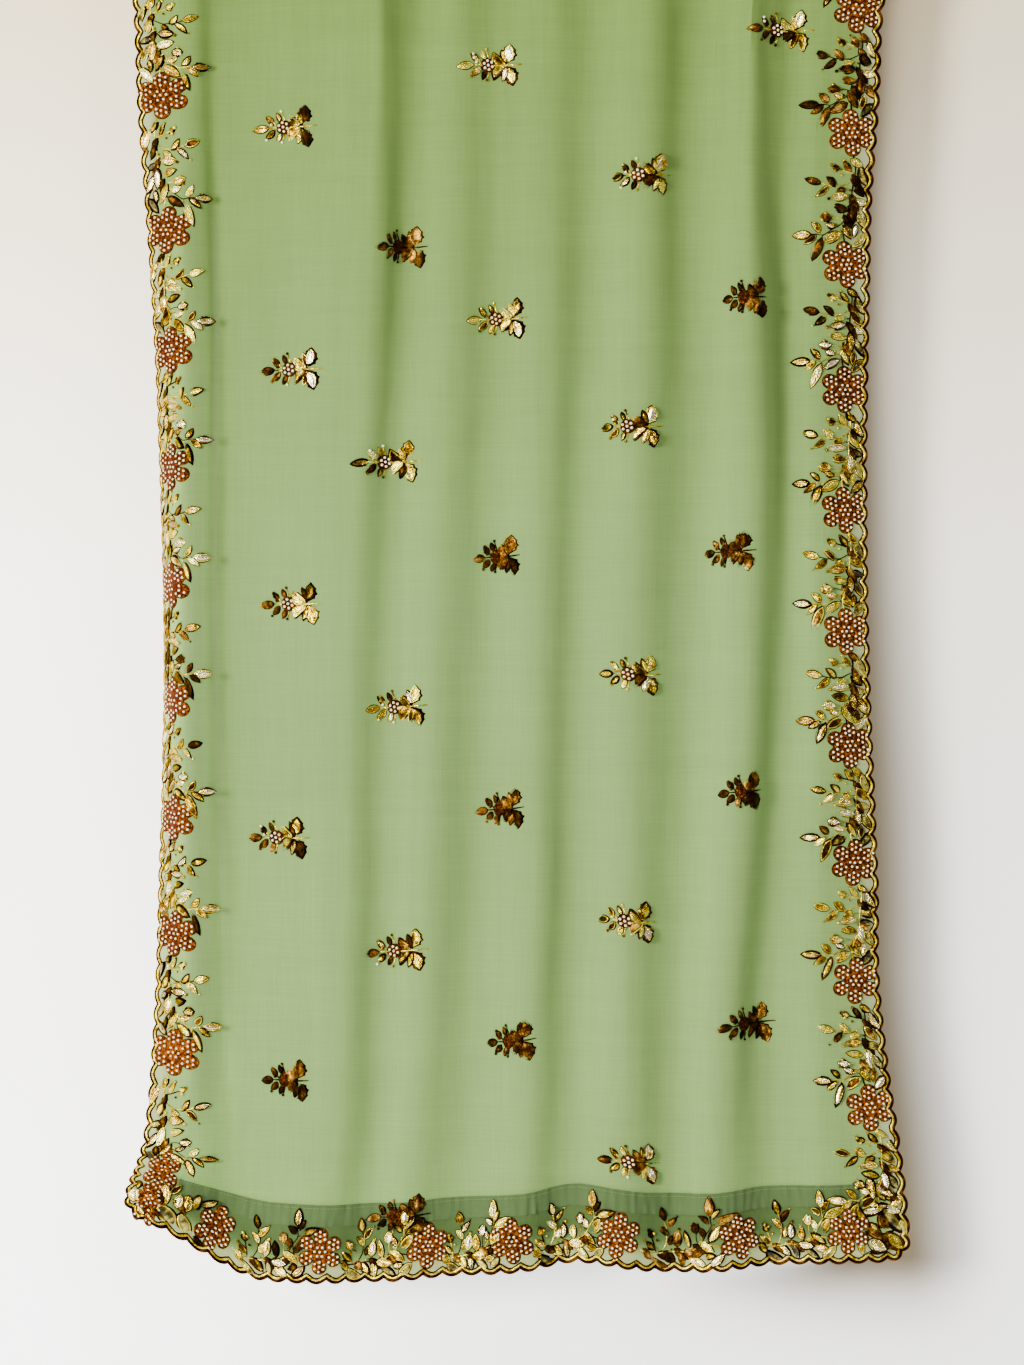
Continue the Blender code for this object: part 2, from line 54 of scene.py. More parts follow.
# ---- the hanging cloth, as in part.py
WIDTH, FRONT_DROP, BACK_DROP = 0.640, 1.096, 1.033
SIDE_BORDER, END_BORDER, BAND, END_TAB = 0.038, 0.060, 0.016, 0.1043
SCALLOP, SCALLOP_DEPTH, SCALLOP_STEPS = 0.016, 0.0042, 10
CORNER_RADIUS = 0.018
ROD_DIAMETER, ROD_LENGTH, ROD_GAP, HALF_WALL = 0.025, 0.760, 0.0005, 0.0008
WRAP = ROD_DIAMETER / 2 + ROD_GAP + HALF_WALL
QUARTER = WRAP * math.pi / 2
HALVES = (("front", FRONT_DROP, 1), ("back", BACK_DROP, -1))

STATIONS = (0.0, 0.12, 0.55, 1.05)
FOLDS = table(
    "kind s_rod s_top s_mid s_low h_rod h_top h_mid h_low shift gain",
    ("edge", 0.000, 0.000, 0.000, 0.000, 0.001, -0.004, -0.012, -0.003, 0.000, -0.30),
    ("ridge", 0.050, 0.048, 0.051, 0.046, 0.004, 0.011, 0.019, 0.005, 0.004, 0.85),
    ("trough", 0.075, 0.072, 0.086, 0.078, 0.001, 0.001, 0.003, 0.000, 0.006, 0.70),
    ("crease", 0.205, 0.206, 0.184, 0.156, 0.007, 0.023, 0.020, 0.011, -0.008, 0.95),
    ("trough", 0.243, 0.244, 0.221, 0.192, 0.002, 0.004, 0.008, 0.001, -0.006, 0.90),
    ("ridge", 0.275, 0.276, 0.257, 0.222, 0.005, 0.011, 0.015, 0.008, 0.002, 1.20),
    ("trough", 0.306, 0.308, 0.301, 0.265, 0.002, 0.005, 0.004, 0.000, 0.008, 0.50),
    ("ridge", 0.350, 0.352, 0.345, 0.320, 0.005, 0.011, 0.014, 0.010, 0.002, 1.05),
    ("trough", 0.383, 0.384, 0.380, 0.356, 0.002, 0.005, 0.003, 0.000, 0.006, 0.90),
    ("ridge", 0.434, 0.434, 0.428, 0.402, 0.006, 0.019, 0.017, 0.011, 0.004, 1.05),
    ("trough", 0.476, 0.477, 0.476, 0.446, 0.001, 0.003, 0.004, 0.001, 0.008, 0.80),
    ("crease", 0.526, 0.527, 0.528, 0.486, 0.007, 0.022, 0.022, 0.013, 0.004, 0.85),
    ("trough", 0.568, 0.568, 0.573, 0.532, 0.001, 0.001, 0.001, 0.001, 0.004, 1.00),
    ("ridge", 0.594, 0.594, 0.598, 0.580, 0.003, 0.006, 0.008, 0.008, 0.000, 1.20),
    ("edge", 0.640, 0.640, 0.640, 0.640, 0.001, 0.000, -0.004, 0.001, 0.000, -0.40),
)
CREASE_FADES = 0.45
OUTLINE = table(
    "v left width",
    (0.000, -0.3090, 0.6230),
    (0.072, -0.3020, 0.5985),
    (0.152, -0.2992, 0.5916),
    (0.232, -0.2936, 0.5800),
    (0.312, -0.2880, 0.5728),
    (0.432, -0.2832, 0.5664),
    (0.592, -0.2800, 0.5645),
    (0.792, -0.2832, 0.5752),
    (0.872, -0.2856, 0.5784),
    (0.952, -0.2900, 0.5912),
    (1.020, -0.2985, 0.6095),
    (1.096, -0.3080, 0.6270),
)
BACK_INSET, BACK_EASE = 0.007, 0.25
LIFTS = table(
    "s rise",
    (0.00, 0.004),
    (0.18, 0.000),
    (0.25, 0.004),
    (0.32, 0.009),
    (0.37, 0.016),
    (0.43, 0.009),
    (0.47, 0.009),
    (0.53, 0.014),
    (0.64, 0.017),
)
LIFT_FROM = 0.10
CURL_RISE, CURL_OUT, CURL_REACH_S, CURL_REACH_V = 0.052, 0.030, 0.115, 0.115
# Small wrinkles on top of the folds, front only: place, half sizes, height and slant (s per v)
WRINKLES = table(
    "s v half_s half_v height slant",
    (0.577, 0.060, 0.006, 0.060, 0.0016, 0.10),
    (0.588, 0.085, 0.004, 0.050, -0.0012, -0.06),
    (0.556, 0.120, 0.007, 0.090, 0.0012, 0.04),
    (0.100, 0.330, 0.010, 0.120, 0.0010, 0.05),
    (0.128, 0.620, 0.014, 0.160, 0.0012, -0.04),
    (0.105, 0.860, 0.012, 0.120, 0.0014, -0.08),
    (0.560, 0.480, 0.008, 0.140, 0.0012, 0.02),
    (0.420, 0.950, 0.016, 0.100, 0.0012, 0.06),
    (0.300, 0.930, 0.012, 0.090, -0.0012, 0.05),
)


def eased(t):
    """A soft step from 0 to 1."""
    t = np.clip(t, 0.0, 1.0)
    return t * t * (3 - 2 * t)


def smooth(at, stations, values):
    """The value at a place on the smooth curve through the stations' values."""
    i = int(np.clip(np.searchsorted(stations, at) - 1, 0, len(stations) - 2))
    x, y = stations, values
    gap = x[i + 1] - x[i]
    t = min(max((at - x[i]) / gap, 0.0), 1.0)
    last = len(x) - 1
    start = 0.0 if i == 0 else (y[i + 1] - y[i - 1]) / (x[i + 1] - x[i - 1])
    end = (y[min(i + 2, last)] - y[i]) / (x[min(i + 2, last)] - x[i])
    return (
        (1 + 2 * t) * (1 - t) ** 2 * y[i]
        + t * (1 - t) ** 2 * gap * start
        + t * t * (3 - 2 * t) * y[i + 1]
        + t * t * (t - 1) * gap * end
    )


def drop_at(v):
    """How far the half of the stole that holds v hangs down."""
    return np.where(v > 0, FRONT_DROP, BACK_DROP)


def folds_at(v):
    """Places across and heights of the folds at this v."""
    drop, back = abs(v), v < 0
    blend = float(eased(drop / BACK_EASE)) if back else 0.0
    places, heights = [], []
    for fold in FOLDS:
        place = smooth(drop, STATIONS, (fold.s_rod, fold.s_top, fold.s_mid, fold.s_low))
        height = smooth(drop, STATIONS, (fold.h_rod, fold.h_top, fold.h_mid, fold.h_low))
        places.append(place + blend * fold.shift)
        heights.append(height * (1 + blend * (fold.gain - 1)))
    return np.array(places), np.array(heights)


EDGE = np.array([float(f.kind == "edge") for f in FOLDS])
CREASE = np.array([float(f.kind == "crease") for f in FOLDS])


def relief(v, across):
    """Height of the cloth across this v: round over ridges and troughs, sharp at edges and creases."""
    places, heights = folds_at(v)
    steep = EDGE + CREASE * float(1 - eased(abs(v) / CREASE_FADES))
    k = np.clip(np.searchsorted(places, across) - 1, 0, len(FOLDS) - 2)
    t = np.clip((across - places[k]) / (places[k + 1] - places[k]), 0.0, 1.0)
    level = 0.5 - 0.5 * np.cos(np.pi * t)
    leaves = (5 * t - t**5) / 4
    meets = 1 - (5 * (1 - t) - (1 - t) ** 5) / 4
    share = level + steep[k] * (leaves - level) + steep[k + 1] * (meets - level)
    return heights[k] + share * (heights[k + 1] - heights[k])


STEEPEST_RUN, DEEPEST, HALVINGS = 0.02, 4.0, 28


def section(v, across):
    """Places, heights and slopes of the folds at this v, as deep as its width leaves room for."""
    stations = [row.v for row in OUTLINE]
    inset = BACK_INSET * float(eased(abs(v) / BACK_EASE)) if v < 0 else 0.0
    left = smooth(abs(v), stations, [row.left for row in OUTLINE]) + inset
    width = smooth(abs(v), stations, [row.width for row in OUTLINE]) - 2 * inset
    height = relief(v, across)
    slope = np.gradient(height, across)
    low, high = 0.0, DEEPEST
    for _ in range(HALVINGS):
        depth = (low + high) / 2
        run = np.sqrt(np.clip(1 - (depth * slope) ** 2, STEEPEST_RUN, 1.0))
        steps = (run[1:] + run[:-1]) / 2 * np.diff(across)
        low, high = (depth, high) if float(np.sum(steps)) > width else (low, depth)
    return left + np.concatenate([[0.0], np.cumsum(steps)]), depth * height, depth * slope


LIFT_S = [row.s for row in LIFTS]
LIFT_RISE = [row.rise for row in LIFTS]


def hung(v, across, lifts):
    """Points of the hanging cloth at this v, with how steep each is across the folds."""
    x, height, slope = section(v, across)
    side = 1.0 if v < 0 else -1.0
    angle = min(abs(v), QUARTER) / WRAP
    below = max(abs(v) - QUARTER, 0.0)
    y = side * (WRAP + height) * math.sin(angle)
    z = (WRAP + height) * math.cos(angle) - below
    if v > 0:
        corner = (1 - eased(across / CURL_REACH_S)) * eased((v - FRONT_DROP) / CURL_REACH_V + 1)
        lifted = float(eased((v - LIFT_FROM) / (FRONT_DROP - LIFT_FROM)))
        z = z + lifts * lifted + CURL_RISE * corner
        y = y - CURL_OUT * corner
    return np.stack([x, y + 0 * x, z + 0 * x, slope], axis=1)


# Rows of the cloth's table, closer where it turns over the rod, and its places across
ROW_STEP, ROD_ROW_STEP, ROD_REACH = 0.003, 0.0012, 0.036
ROWS = np.concatenate(
    [
        np.arange(-1.041, -ROD_REACH, ROW_STEP),
        np.arange(-ROD_REACH, ROD_REACH, ROD_ROW_STEP),
        np.arange(ROD_REACH, 1.106, ROW_STEP),
    ]
)
FINE = np.linspace(0.0, WIDTH, 641)
STEP = FINE[1]
UNDULATION, RIPPLE, PUCKER, PUCKER_REACH = 0.00035, 0.0002, 0.00032, 0.012


def cloth_table():
    lifts = np.array([smooth(s, LIFT_S, LIFT_RISE) for s in FINE])
    found = np.array([hung(v, FINE, lifts) for v in ROWS])
    points, slopes = found[:, :, :3], found[:, :, 3]
    along = np.gradient(points, ROWS, axis=0)
    across = np.gradient(points, STEP, axis=1)
    normals = np.cross(along, across)
    normals /= np.linalg.norm(normals, axis=2, keepdims=True)
    # small relief along the normals: soft undulation, wrinkles, and puckers at the stitched hems
    v, s = np.meshgrid(ROWS, FINE, indexing="ij")
    small = UNDULATION * np.sin(41 * s + 9 * np.sin(3.1 * v)) * np.sin(7.3 * v + 30 * s)
    small += RIPPLE * np.sin(160 * s + 4 * np.sin(11 * v + 2)) * np.sin(19 * v)
    for w in WRINKLES:
        u = (s - w.s - w.slant * (v - w.v)) / w.half_s
        small += w.height * np.exp(-(u**2)) * np.exp(-(((v - w.v) / w.half_v) ** 2))
    for hem in (FRONT_DROP - END_BORDER, -(BACK_DROP - END_BORDER)):
        near = np.exp(-(((v - hem) / PUCKER_REACH) ** 2))
        wave = np.sin(s * 620 + 5 * np.sin(s * 47)) + 0.7 * np.sin(s * 1030 + 3 * np.sin(s * 80))
        small += PUCKER * near * wave
    return points + small[:, :, None] * normals, normals, slopes


POINTS, NORMALS, SLOPES = cloth_table()


def on_cloth(s, v, out=0.0):
    """World points of flat places (s, v), moved out from the cloth, with the folds' slope there."""
    s, v, out = np.broadcast_arrays(np.asarray(s, float), np.asarray(v, float), out)
    j = np.clip(np.searchsorted(ROWS, v) - 1, 0, len(ROWS) - 2)
    g = ((v - ROWS[j]) / (ROWS[j + 1] - ROWS[j]))[..., None]
    k = np.clip((s / STEP).astype(int), 0, len(FINE) - 2)
    f = (s / STEP - k)[..., None]

    def mixed(values):
        upper = (1 - f) * values[j, k] + f * values[j, k + 1]
        lower = (1 - f) * values[j + 1, k] + f * values[j + 1, k + 1]
        return (1 - g) * upper + g * lower

    normal = mixed(NORMALS)
    normal /= np.linalg.norm(normal, axis=-1, keepdims=True)
    return mixed(POINTS) + out[..., None] * normal, mixed(SLOPES[..., None])[..., 0]


# ---- materials
def hexed(r, g, b):
    """Linear colour of sRGB values from 0 to 255."""
    return tuple(((c / 255 + 0.055) / 1.055) ** 2.4 if c > 10 else c / 3295 for c in (r, g, b))


class Net:
    """Short hand for a material's node net."""

    def __init__(self, tree):
        self.tree = tree
        self.place = self.node("TexCoord").outputs["Object"]

    def node(self, kind, inputs=(), **settings):
        made = self.tree.nodes.new("ShaderNode" + kind)
        for key, value in settings.items():
            setattr(made, key, value)
        for key, value in dict(inputs).items():
            if isinstance(value, bpy.types.NodeSocket):
                self.link(value, made.inputs[key])
            else:
                made.inputs[key].default_value = value
        return made

    def link(self, socket, target):
        self.tree.links.new(socket, target)

    def attribute(self, name):
        return self.node("Attribute", attribute_name=name).outputs["Fac"]

    def noise(self, x, y, z, detail=3.0, rough=0.55, distortion=0.0):
        """Noise with so many cells a metre each way."""
        vector = self.node("Mapping", {"Vector": self.place, "Scale": (x, y, z)}).outputs[0]
        inputs = {"Vector": vector, "Scale": 1.0, "Detail": detail, "Roughness": rough}
        return self.node("TexNoise", {**inputs, "Distortion": distortion}).outputs["Fac"]

    def maths(self, operation, a, b):
        return self.node("Math", {0: a, 1: b}, operation=operation).outputs[0]

    def spread(self, value, low, high, to_low=0.0, to_high=1.0):
        inputs = {"Value": value, "From Min": low, "From Max": high, "To Min": to_low, "To Max": to_high}
        return self.node("MapRange", inputs).outputs[0]

    def mix(self, share, a, b, blend="MIX"):
        a, b = (c if isinstance(c, bpy.types.NodeSocket) else (*c, 1.0) for c in (a, b))
        return self.node("Mix", {0: share, 6: a, 7: b}, data_type="RGBA", blend_type=blend).outputs[2]

    def ramp(self, value, stops):
        made = self.node("ValToRGB", {"Fac": value})
        elements = made.color_ramp.elements
        while len(elements) < len(stops):
            elements.new(0.5)
        for element, (at, colour) in zip(elements, stops):
            element.position = at
            element.color = (*colour, 1.0)
        return made.outputs["Color"]

    def bump(self, shader, height, strength, distance):
        made = self.node("Bump", {"Height": height, "Strength": strength, "Distance": distance})
        self.link(made.outputs[0], shader.inputs["Normal"])
        return made.outputs[0]

    def blend(self, share, first, second):
        """The material's surface: so much of the second shader over the first."""
        made = self.node("MixShader", {0: share, 1: first.outputs[0], 2: second.outputs[0]})
        self.link(made.outputs[0], self.tree.nodes["Material Output"].inputs["Surface"])


def new_material(name, **values):
    """A material, its node net and its shader, with the uniform values set on the shader."""
    material = bpy.data.materials.new(name)
    material.use_nodes = True
    shader = material.node_tree.nodes["Principled BSDF"]
    for key, value in values.items():
        shader.inputs[key.replace("_", " ")].default_value = value
    return material, Net(material.node_tree), shader


PALE_BELOW, DEEP_ABOVE = -0.55, -0.02  # heights between which the cloth deepens
# Painted light where folds stand edge-on: its colour, the slope measure where it starts and where it is
# full, and its share; then the share of the net's painted shade by a hem band
FOLD_PAINTED_LIGHT, GLOW_FROM, GLOW_TO, FOLD_PAINTED_LIGHT_SHARE, BAND_SHADE_SHARE = hexed(178, 186, 148), 0.62, 1.2, 0.5, 0.9
# Cells a metre of the weave's noises: its two threads, its slubs each way, and its clouds
WARP, WEFT, SLUB_WARP, SLUB_WEFT = (900, 900, 26), (30, 30, 1100), (110, 110, 3), (5, 5, 90)
CLOUDS = (7, 7, 3.5)
# How much they darken and lighten the cloth, how much painted light and shade the folds' slopes and the
# first fold give it, and the threads' relief
THREAD_TONE, UNEVEN, STEEP_PAINTED_LIGHT_AND_SHADE, WEAVE_BUMP = 0.09, 0.05, 0.4, (0.25, 0.0003)


def woven(name, top, low, see_through, edge=None):
    """A fine plain weave with painted light where folds stand edge-on, and painted light and shade on the
    first fold. edge: the net's colour of painted shade by a hem band, and its rim colour.
    """
    sheen = {"Sheen_Weight": 0.12, "Sheen_Roughness": 0.5}
    material, net, shader = new_material(name, Roughness=0.78, Specular_IOR_Level=0.25, **sheen)
    depth = net.node("SeparateXYZ", {0: net.place}).outputs["Z"]
    colour = net.mix(net.spread(depth, PALE_BELOW, DEEP_ABOVE), hexed(*low), hexed(*top))
    # painted light where folds stand edge-on, with the first fold's painted light and shade
    steep = net.attribute("steep")
    colour = net.mix(net.spread(steep, GLOW_FROM, GLOW_TO, 0.0, FOLD_PAINTED_LIGHT_SHARE), colour, FOLD_PAINTED_LIGHT)
    if edge:
        band_shade_colour, rim = edge
        # painted shade on the net by a hem band
        near = net.maths("MULTIPLY", net.attribute("near_band"), BAND_SHADE_SHARE)
        colour = net.mix(near, colour, hexed(*band_shade_colour))
        colour = net.mix(net.attribute("edge"), colour, hexed(*rim))
    threads = net.maths("ADD", net.noise(*WARP, detail=2.0), net.noise(*WEFT, detail=2.0))
    slubs = net.maths("ADD", net.noise(*SLUB_WARP), net.noise(*SLUB_WEFT))
    tone = net.maths("ADD", net.spread(threads, 0.6, 1.4, -THREAD_TONE, THREAD_TONE), 1.0)
    clouds = net.noise(*CLOUDS)
    factors = ((clouds, 0.3, 0.7, UNEVEN), (slubs, 0.7, 1.3, UNEVEN), (steep, -1.0, 1.0, STEEP_PAINTED_LIGHT_AND_SHADE))
    for value, low, high, change in factors:
        tone = net.maths("MULTIPLY", tone, net.spread(value, low, high, 1 - change, 1 + change))
    grey = net.node("CombineColor", {0: tone, 1: tone, 2: tone}).outputs[0]
    colour = net.mix(1.0, colour, grey, blend="MULTIPLY")
    net.link(colour, shader.inputs["Base Color"])
    normal = net.bump(shader, threads, *WEAVE_BUMP)
    through = net.node("BsdfTranslucent", {"Color": colour, "Normal": normal})
    net.blend(see_through, shader, through)
    return material


# Painted shade in the threads' hollows and round their feet: its share and how dark; then the roughness's
# spread and the relief of patches and threads
GROOVE_SHADE_SHARE, GROOVE_SHADE_TONE, ROUGH_SPREAD, PATCH_RELIEF, THREAD_RELIEF = 0.85, 0.35, 0.08, 1.6, 0.0007


def thread(name, stops, metal, rough, grain=900, strength=0.6, coat=0.0, patch=150):
    """Metal thread or sequin: tones from a patchy noise and each leaf's or bead's tint (its own random
    tone, lowered as painted shade where the cloth turns away), with painted shade in its hollows and round
    its foot.
    Each stop is a place from 0 to 100 and an sRGB colour."""
    stops = [(at / 100, hexed(*colour)) for at, *colour in stops]
    darkest, brightest = stops[0][1], stops[-1][1]
    uniform = {"Metallic": metal, "Coat_Weight": coat, "Coat_Roughness": 0.12}
    material, net, shader = new_material(name, **uniform)
    # a warm edge tint, so that metal seen at a slant doesn't turn white
    tint = (*((c / max(brightest)) ** 0.5 for c in brightest), 1.0)
    shader.inputs["Specular Tint"].default_value = tint
    patches = net.noise(patch, patch, patch, detail=4.0, rough=0.62)
    fine = net.noise(grain, grain, grain, detail=2.0, distortion=0.6)
    tone = net.ramp(net.maths("ADD", patches, net.attribute("tint")), stops)
    # painted shade in hollows and round feet
    groove = net.maths("MULTIPLY", net.attribute("groove"), GROOVE_SHADE_SHARE)
    tone = net.mix(groove, tone, [c * GROOVE_SHADE_TONE for c in darkest])
    net.link(tone, shader.inputs["Base Color"])
    worn = net.spread(fine, 0.3, 0.7, rough - ROUGH_SPREAD, rough + ROUGH_SPREAD)
    net.link(worn, shader.inputs["Roughness"])
    height = net.maths("ADD", net.maths("MULTIPLY", patches, PATCH_RELIEF), fine)
    net.bump(shader, height, strength, THREAD_RELIEF)
    return material


GEORGETTE = woven("sage_georgette", (130, 162, 76), (145, 179, 103), 0.42)
DOUBLED = woven("doubled_georgette", (75, 99, 53), (75, 99, 53), 0.18)
# The net's colours: painted shade by a hem band, and its rim
NET_EDGE = ((68, 92, 44), (184, 192, 138))
ORGANZA = woven("pale_organza", (130, 160, 75), (145, 177, 100), 0.35, NET_EDGE)
GOLD_TONES = ((35, 54, 36, 2), (45, 130, 97, 6), (53, 224, 183, 16), (61, 255, 242, 90))
GOLD = thread("gold_zari", GOLD_TONES, 1.0, 0.25)
ANTIQUE_TONES = ((36, 22, 11, 1), (52, 58, 33, 5), (64, 134, 88, 18), (76, 232, 186, 80))
ANTIQUE = thread("antique_zari", ANTIQUE_TONES, 1.0, 0.34, strength=0.7)
OUTLINE_TONES = ((34, 104, 70, 4), (46, 212, 168, 18), (58, 255, 240, 88))
OUTLINE_GOLD = thread("gold_outline", OUTLINE_TONES, 1.0, 0.30)
BROWN_TONES = ((38, 12, 5, 1), (54, 34, 17, 4), (70, 110, 62, 16))
OUTLINE_BROWN = thread("brown_outline", BROWN_TONES, 1.0, 0.45)
FLASH_TONES = ((38, 140, 102, 8), (48, 244, 210, 50), (57, 255, 251, 196))
FLASH = thread("flash_sequin", FLASH_TONES, 0.95, 0.19, strength=0.45, coat=0.5)
OLIVE_TONES = ((38, 46, 40, 5), (48, 116, 106, 24), (60, 226, 212, 96))
OLIVE = thread("olive_sequin", OLIVE_TONES, 0.9, 0.28, strength=0.4, coat=0.6)
COPPER_TONES = ((38, 30, 10, 1), (50, 78, 34, 4), (63, 158, 84, 13))
COPPER = thread("copper_thread", COPPER_TONES, 0.9, 0.45, grain=1300, strength=1.0, patch=520)
PEARL_TONES = ((28, 250, 212, 140), (42, 255, 238, 182), (58, 255, 249, 214))
PEARL = thread("cream_pearl", PEARL_TONES, 0.05, 0.18, strength=0.05, coat=0.8)


BEECH = ((0.3, hexed(176, 132, 88)), (0.5, hexed(206, 164, 116)), (0.7, hexed(222, 186, 142)))
BEECH_PORES, BEECH_ROUGH = hexed(150, 104, 64), (0.34, 0.5)


def rod_wood():
    material, net, shader = new_material("beech_rod")
    grain = net.noise(3, 90, 90, detail=6.0, rough=0.6, distortion=0.8)
    pores = net.noise(60, 900, 900, detail=2.0)
    colour = net.mix(net.spread(pores, 0.62, 0.75), net.ramp(grain, BEECH), BEECH_PORES)
    net.link(colour, shader.inputs["Base Color"])
    net.link(net.spread(grain, 0.3, 0.7, *BEECH_ROUGH), shader.inputs["Roughness"])
    net.bump(shader, net.maths("ADD", grain, pores), 0.2, 0.0004)
    return material


# ---- building pieces
def add_object(name, data):
    made = bpy.data.objects.new(name, data)
    bpy.context.scene.collection.objects.link(made)
    return made


def add_mesh(name, points, faces, materials, face_materials=None, attributes=None):
    """A smooth mesh object, with named values at its points."""
    mesh = bpy.data.meshes.new(name)
    mesh.from_pydata(points, [], faces)
    mesh.shade_smooth()
    for material in materials:
        mesh.materials.append(material)
    if face_materials is not None:
        mesh.polygons.foreach_set("material_index", face_materials)
    mesh.validate()
    for key, values in (attributes or {}).items():
        mesh.attributes.new(key, "FLOAT", "POINT").data.foreach_set("value", values)
    return add_object(name, mesh)


def add_piece(*details):
    """A mesh object of the stole or its rod."""
    piece = add_mesh(*details)
    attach(piece, "root")
    return piece


OUTER, INNER = 0.0004, -0.0002  # faces of the thin shells, out from the cloth's middle
LEAST_FACING = 0.04
# The first fold: painted shade on its ridge, painted light on the side that faces away from the window
RIDGE_S, RIDGE_WIDE, FAR_SIDE_S, FAR_SIDE_WIDE, FIRST_FOLD_PAINTED_LIGHT_AND_SHADE = 0.046, 0.011, 0.069, 0.010, 0.65
TONE_FROM, TONE_IN, TONE_TO, TONE_OUT = 0.10, 0.20, 0.92, 0.10


def steepness(slope):
    """How edge-on the cloth stands for its slope across the folds, which sets the painted light on it."""
    return 1 - np.sqrt(np.clip(1 - slope**2, LEAST_FACING, 1.0))


def left_fold_painted_light_and_shade(s, v):
    """The first fold's painted light and shade, over the length of the front that shows it."""
    down = eased((v - TONE_FROM) / TONE_IN) * (1 - eased((v - TONE_TO) / TONE_OUT))
    pale = FIRST_FOLD_PAINTED_LIGHT_AND_SHADE * np.exp(-(((s - FAR_SIDE_S) / FAR_SIDE_WIDE) ** 2))
    dim = FIRST_FOLD_PAINTED_LIGHT_AND_SHADE * np.exp(-(((s - RIDGE_S) / RIDGE_WIDE) ** 2))
    return (pale - dim) * down


RIM, RIM_FADE = 0.006, 0.012
# The net's painted shade by a hem band: clear of the hem and of the band's ends, and how gently it starts
HEM_CLEAR, HEM_FADE, TOP_FADE, END_CLEAR, END_FADE = 0.006, 0.022, 0.004, 0.026, 0.016


def side_fade(s, v):
    """1 at the scalloped edge of a border, 0 from 18 mm inside it."""
    inside = np.minimum(np.minimum(s, WIDTH - s), drop_at(v) - np.abs(v))
    return 1 - eased((inside - RIM) / RIM_FADE)


def band_shade(s, v):
    """Painted shade on the net: 1 behind and just below a hem band, 0 by the hem's edge and beyond the
    band's ends.
    """
    rise = drop_at(v) - np.abs(v)
    below = eased((rise - HEM_CLEAR) / HEM_FADE) * (1 - eased((rise - END_BORDER) / TOP_FADE))
    return below * eased((np.minimum(s, WIDTH - s) - END_CLEAR) / END_FADE)


SHARP = math.radians(50)


def shell(name, flat, faces, boundary, material, lift=0.0):
    """A closed thin shell from triangles or quads in (s, v) and its boundary loop."""
    s, v = flat[:, 0], flat[:, 1]
    upper, slope = on_cloth(s, v, OUTER + lift)
    lower, _ = on_cloth(s, v, INNER + lift * 0.9)
    count = len(flat)
    made = [tuple(reversed(face)) for face in faces]
    made += [tuple(count + i for i in face) for face in faces]
    follows = [*boundary[1:], boundary[0]]
    made += [(a, b, count + b, count + a) for a, b in zip(boundary, follows)]
    # painted light by the folds' slopes, and the first fold's painted light and shade
    steep = steepness(slope) + left_fold_painted_light_and_shade(s, v)
    tones = {"steep": steep, "edge": side_fade(s, v), "near_band": band_shade(s, v)}
    tones = {key: np.concatenate([values] * 2) for key, values in tones.items()}
    piece = add_piece(name, np.concatenate([upper, lower]), made, [material], None, tones)
    piece.data.set_sharp_from_angle(angle=SHARP)
    return piece


def grid_faces(index):
    """Quads between the numbered points of a grid."""
    corners = (index[:-1, :-1], index[:-1, 1:], index[1:, 1:], index[1:, :-1])
    return [tuple(quad) for quad in np.stack([c.ravel() for c in corners], axis=1).tolist()]


def grid_shell(name, across, down, material, lifted=None):
    """A shell over a rectangle of the flat cloth. lifted(s, v) gives how far out it lies."""
    s, v = (values.ravel() for values in np.meshgrid(across, down))
    index = np.arange(len(s)).reshape(len(down), len(across))
    loop = [*index[0, :], *index[1:, -1], *index[-1, -2::-1], *index[-2:0:-1, 0]]
    lift = lifted(s, v) if lifted else 0.0
    flat = np.stack([s, v], axis=1)
    return shell(name, flat, grid_faces(index), [int(i) for i in loop], material, lift)


def scalloped(base, length):
    """Points of the scallops that fit a base curve of this length."""
    count = max(round(length / SCALLOP), 1)
    points = []
    for i in range(count * SCALLOP_STEPS):
        t = i / (count * SCALLOP_STEPS)
        (s, v), (out_s, out_v) = base(t)
        inset = SCALLOP_DEPTH * (1 - abs(math.sin(math.pi * count * t)))
        points.append((s - inset * out_s, v - inset * out_v))
    return points


def line(start, end, out):
    """A straight base curve with its outward direction, and its length."""
    def base(t):
        return ((start[0] + (end[0] - start[0]) * t, start[1] + (end[1] - start[1]) * t), out)

    return base, math.dist(start, end)


def arc(centre, start_deg, end_deg):
    """A round corner's base curve, and its length."""
    def base(t):
        a = math.radians(start_deg + (end_deg - start_deg) * t)
        out = (math.cos(a), math.sin(a))
        return ((centre[0] + CORNER_RADIUS * out[0], centre[1] + CORNER_RADIUS * out[1]), out)

    return base, CORNER_RADIUS * math.radians(abs(end_deg - start_deg))


def end_runs(drop, direction):
    """The scalloped runs of an end border, from its left tab round the hem to its right tab."""
    top, turn, far = drop - END_TAB, drop - CORNER_RADIUS, WIDTH - CORNER_RADIUS
    runs = (
        line((0.0, top), (0.0, turn), (-1.0, 0.0)),
        arc((CORNER_RADIUS, turn), 180, 90),
        line((CORNER_RADIUS, drop), (far, drop), (0.0, 1.0)),
        arc((far, turn), 90, 0),
        line((WIDTH, turn), (WIDTH, top), (1.0, 0.0)),
    )
    points = [p for base, length in runs for p in scalloped(base, length)]
    return [(s, direction * v) for s, v in points]


TAB_FRONT, TAB_BACK = FRONT_DROP - END_TAB, -(BACK_DROP - END_TAB)
LEFT_RUN = scalloped(*line((0.0, TAB_BACK), (0.0, TAB_FRONT), (-1.0, 0.0)))
RIGHT_RUN = [(WIDTH - s, v) for s, v in reversed(LEFT_RUN)]
FRONT_RUN = end_runs(FRONT_DROP, 1)
BACK_RUN = end_runs(BACK_DROP, -1)


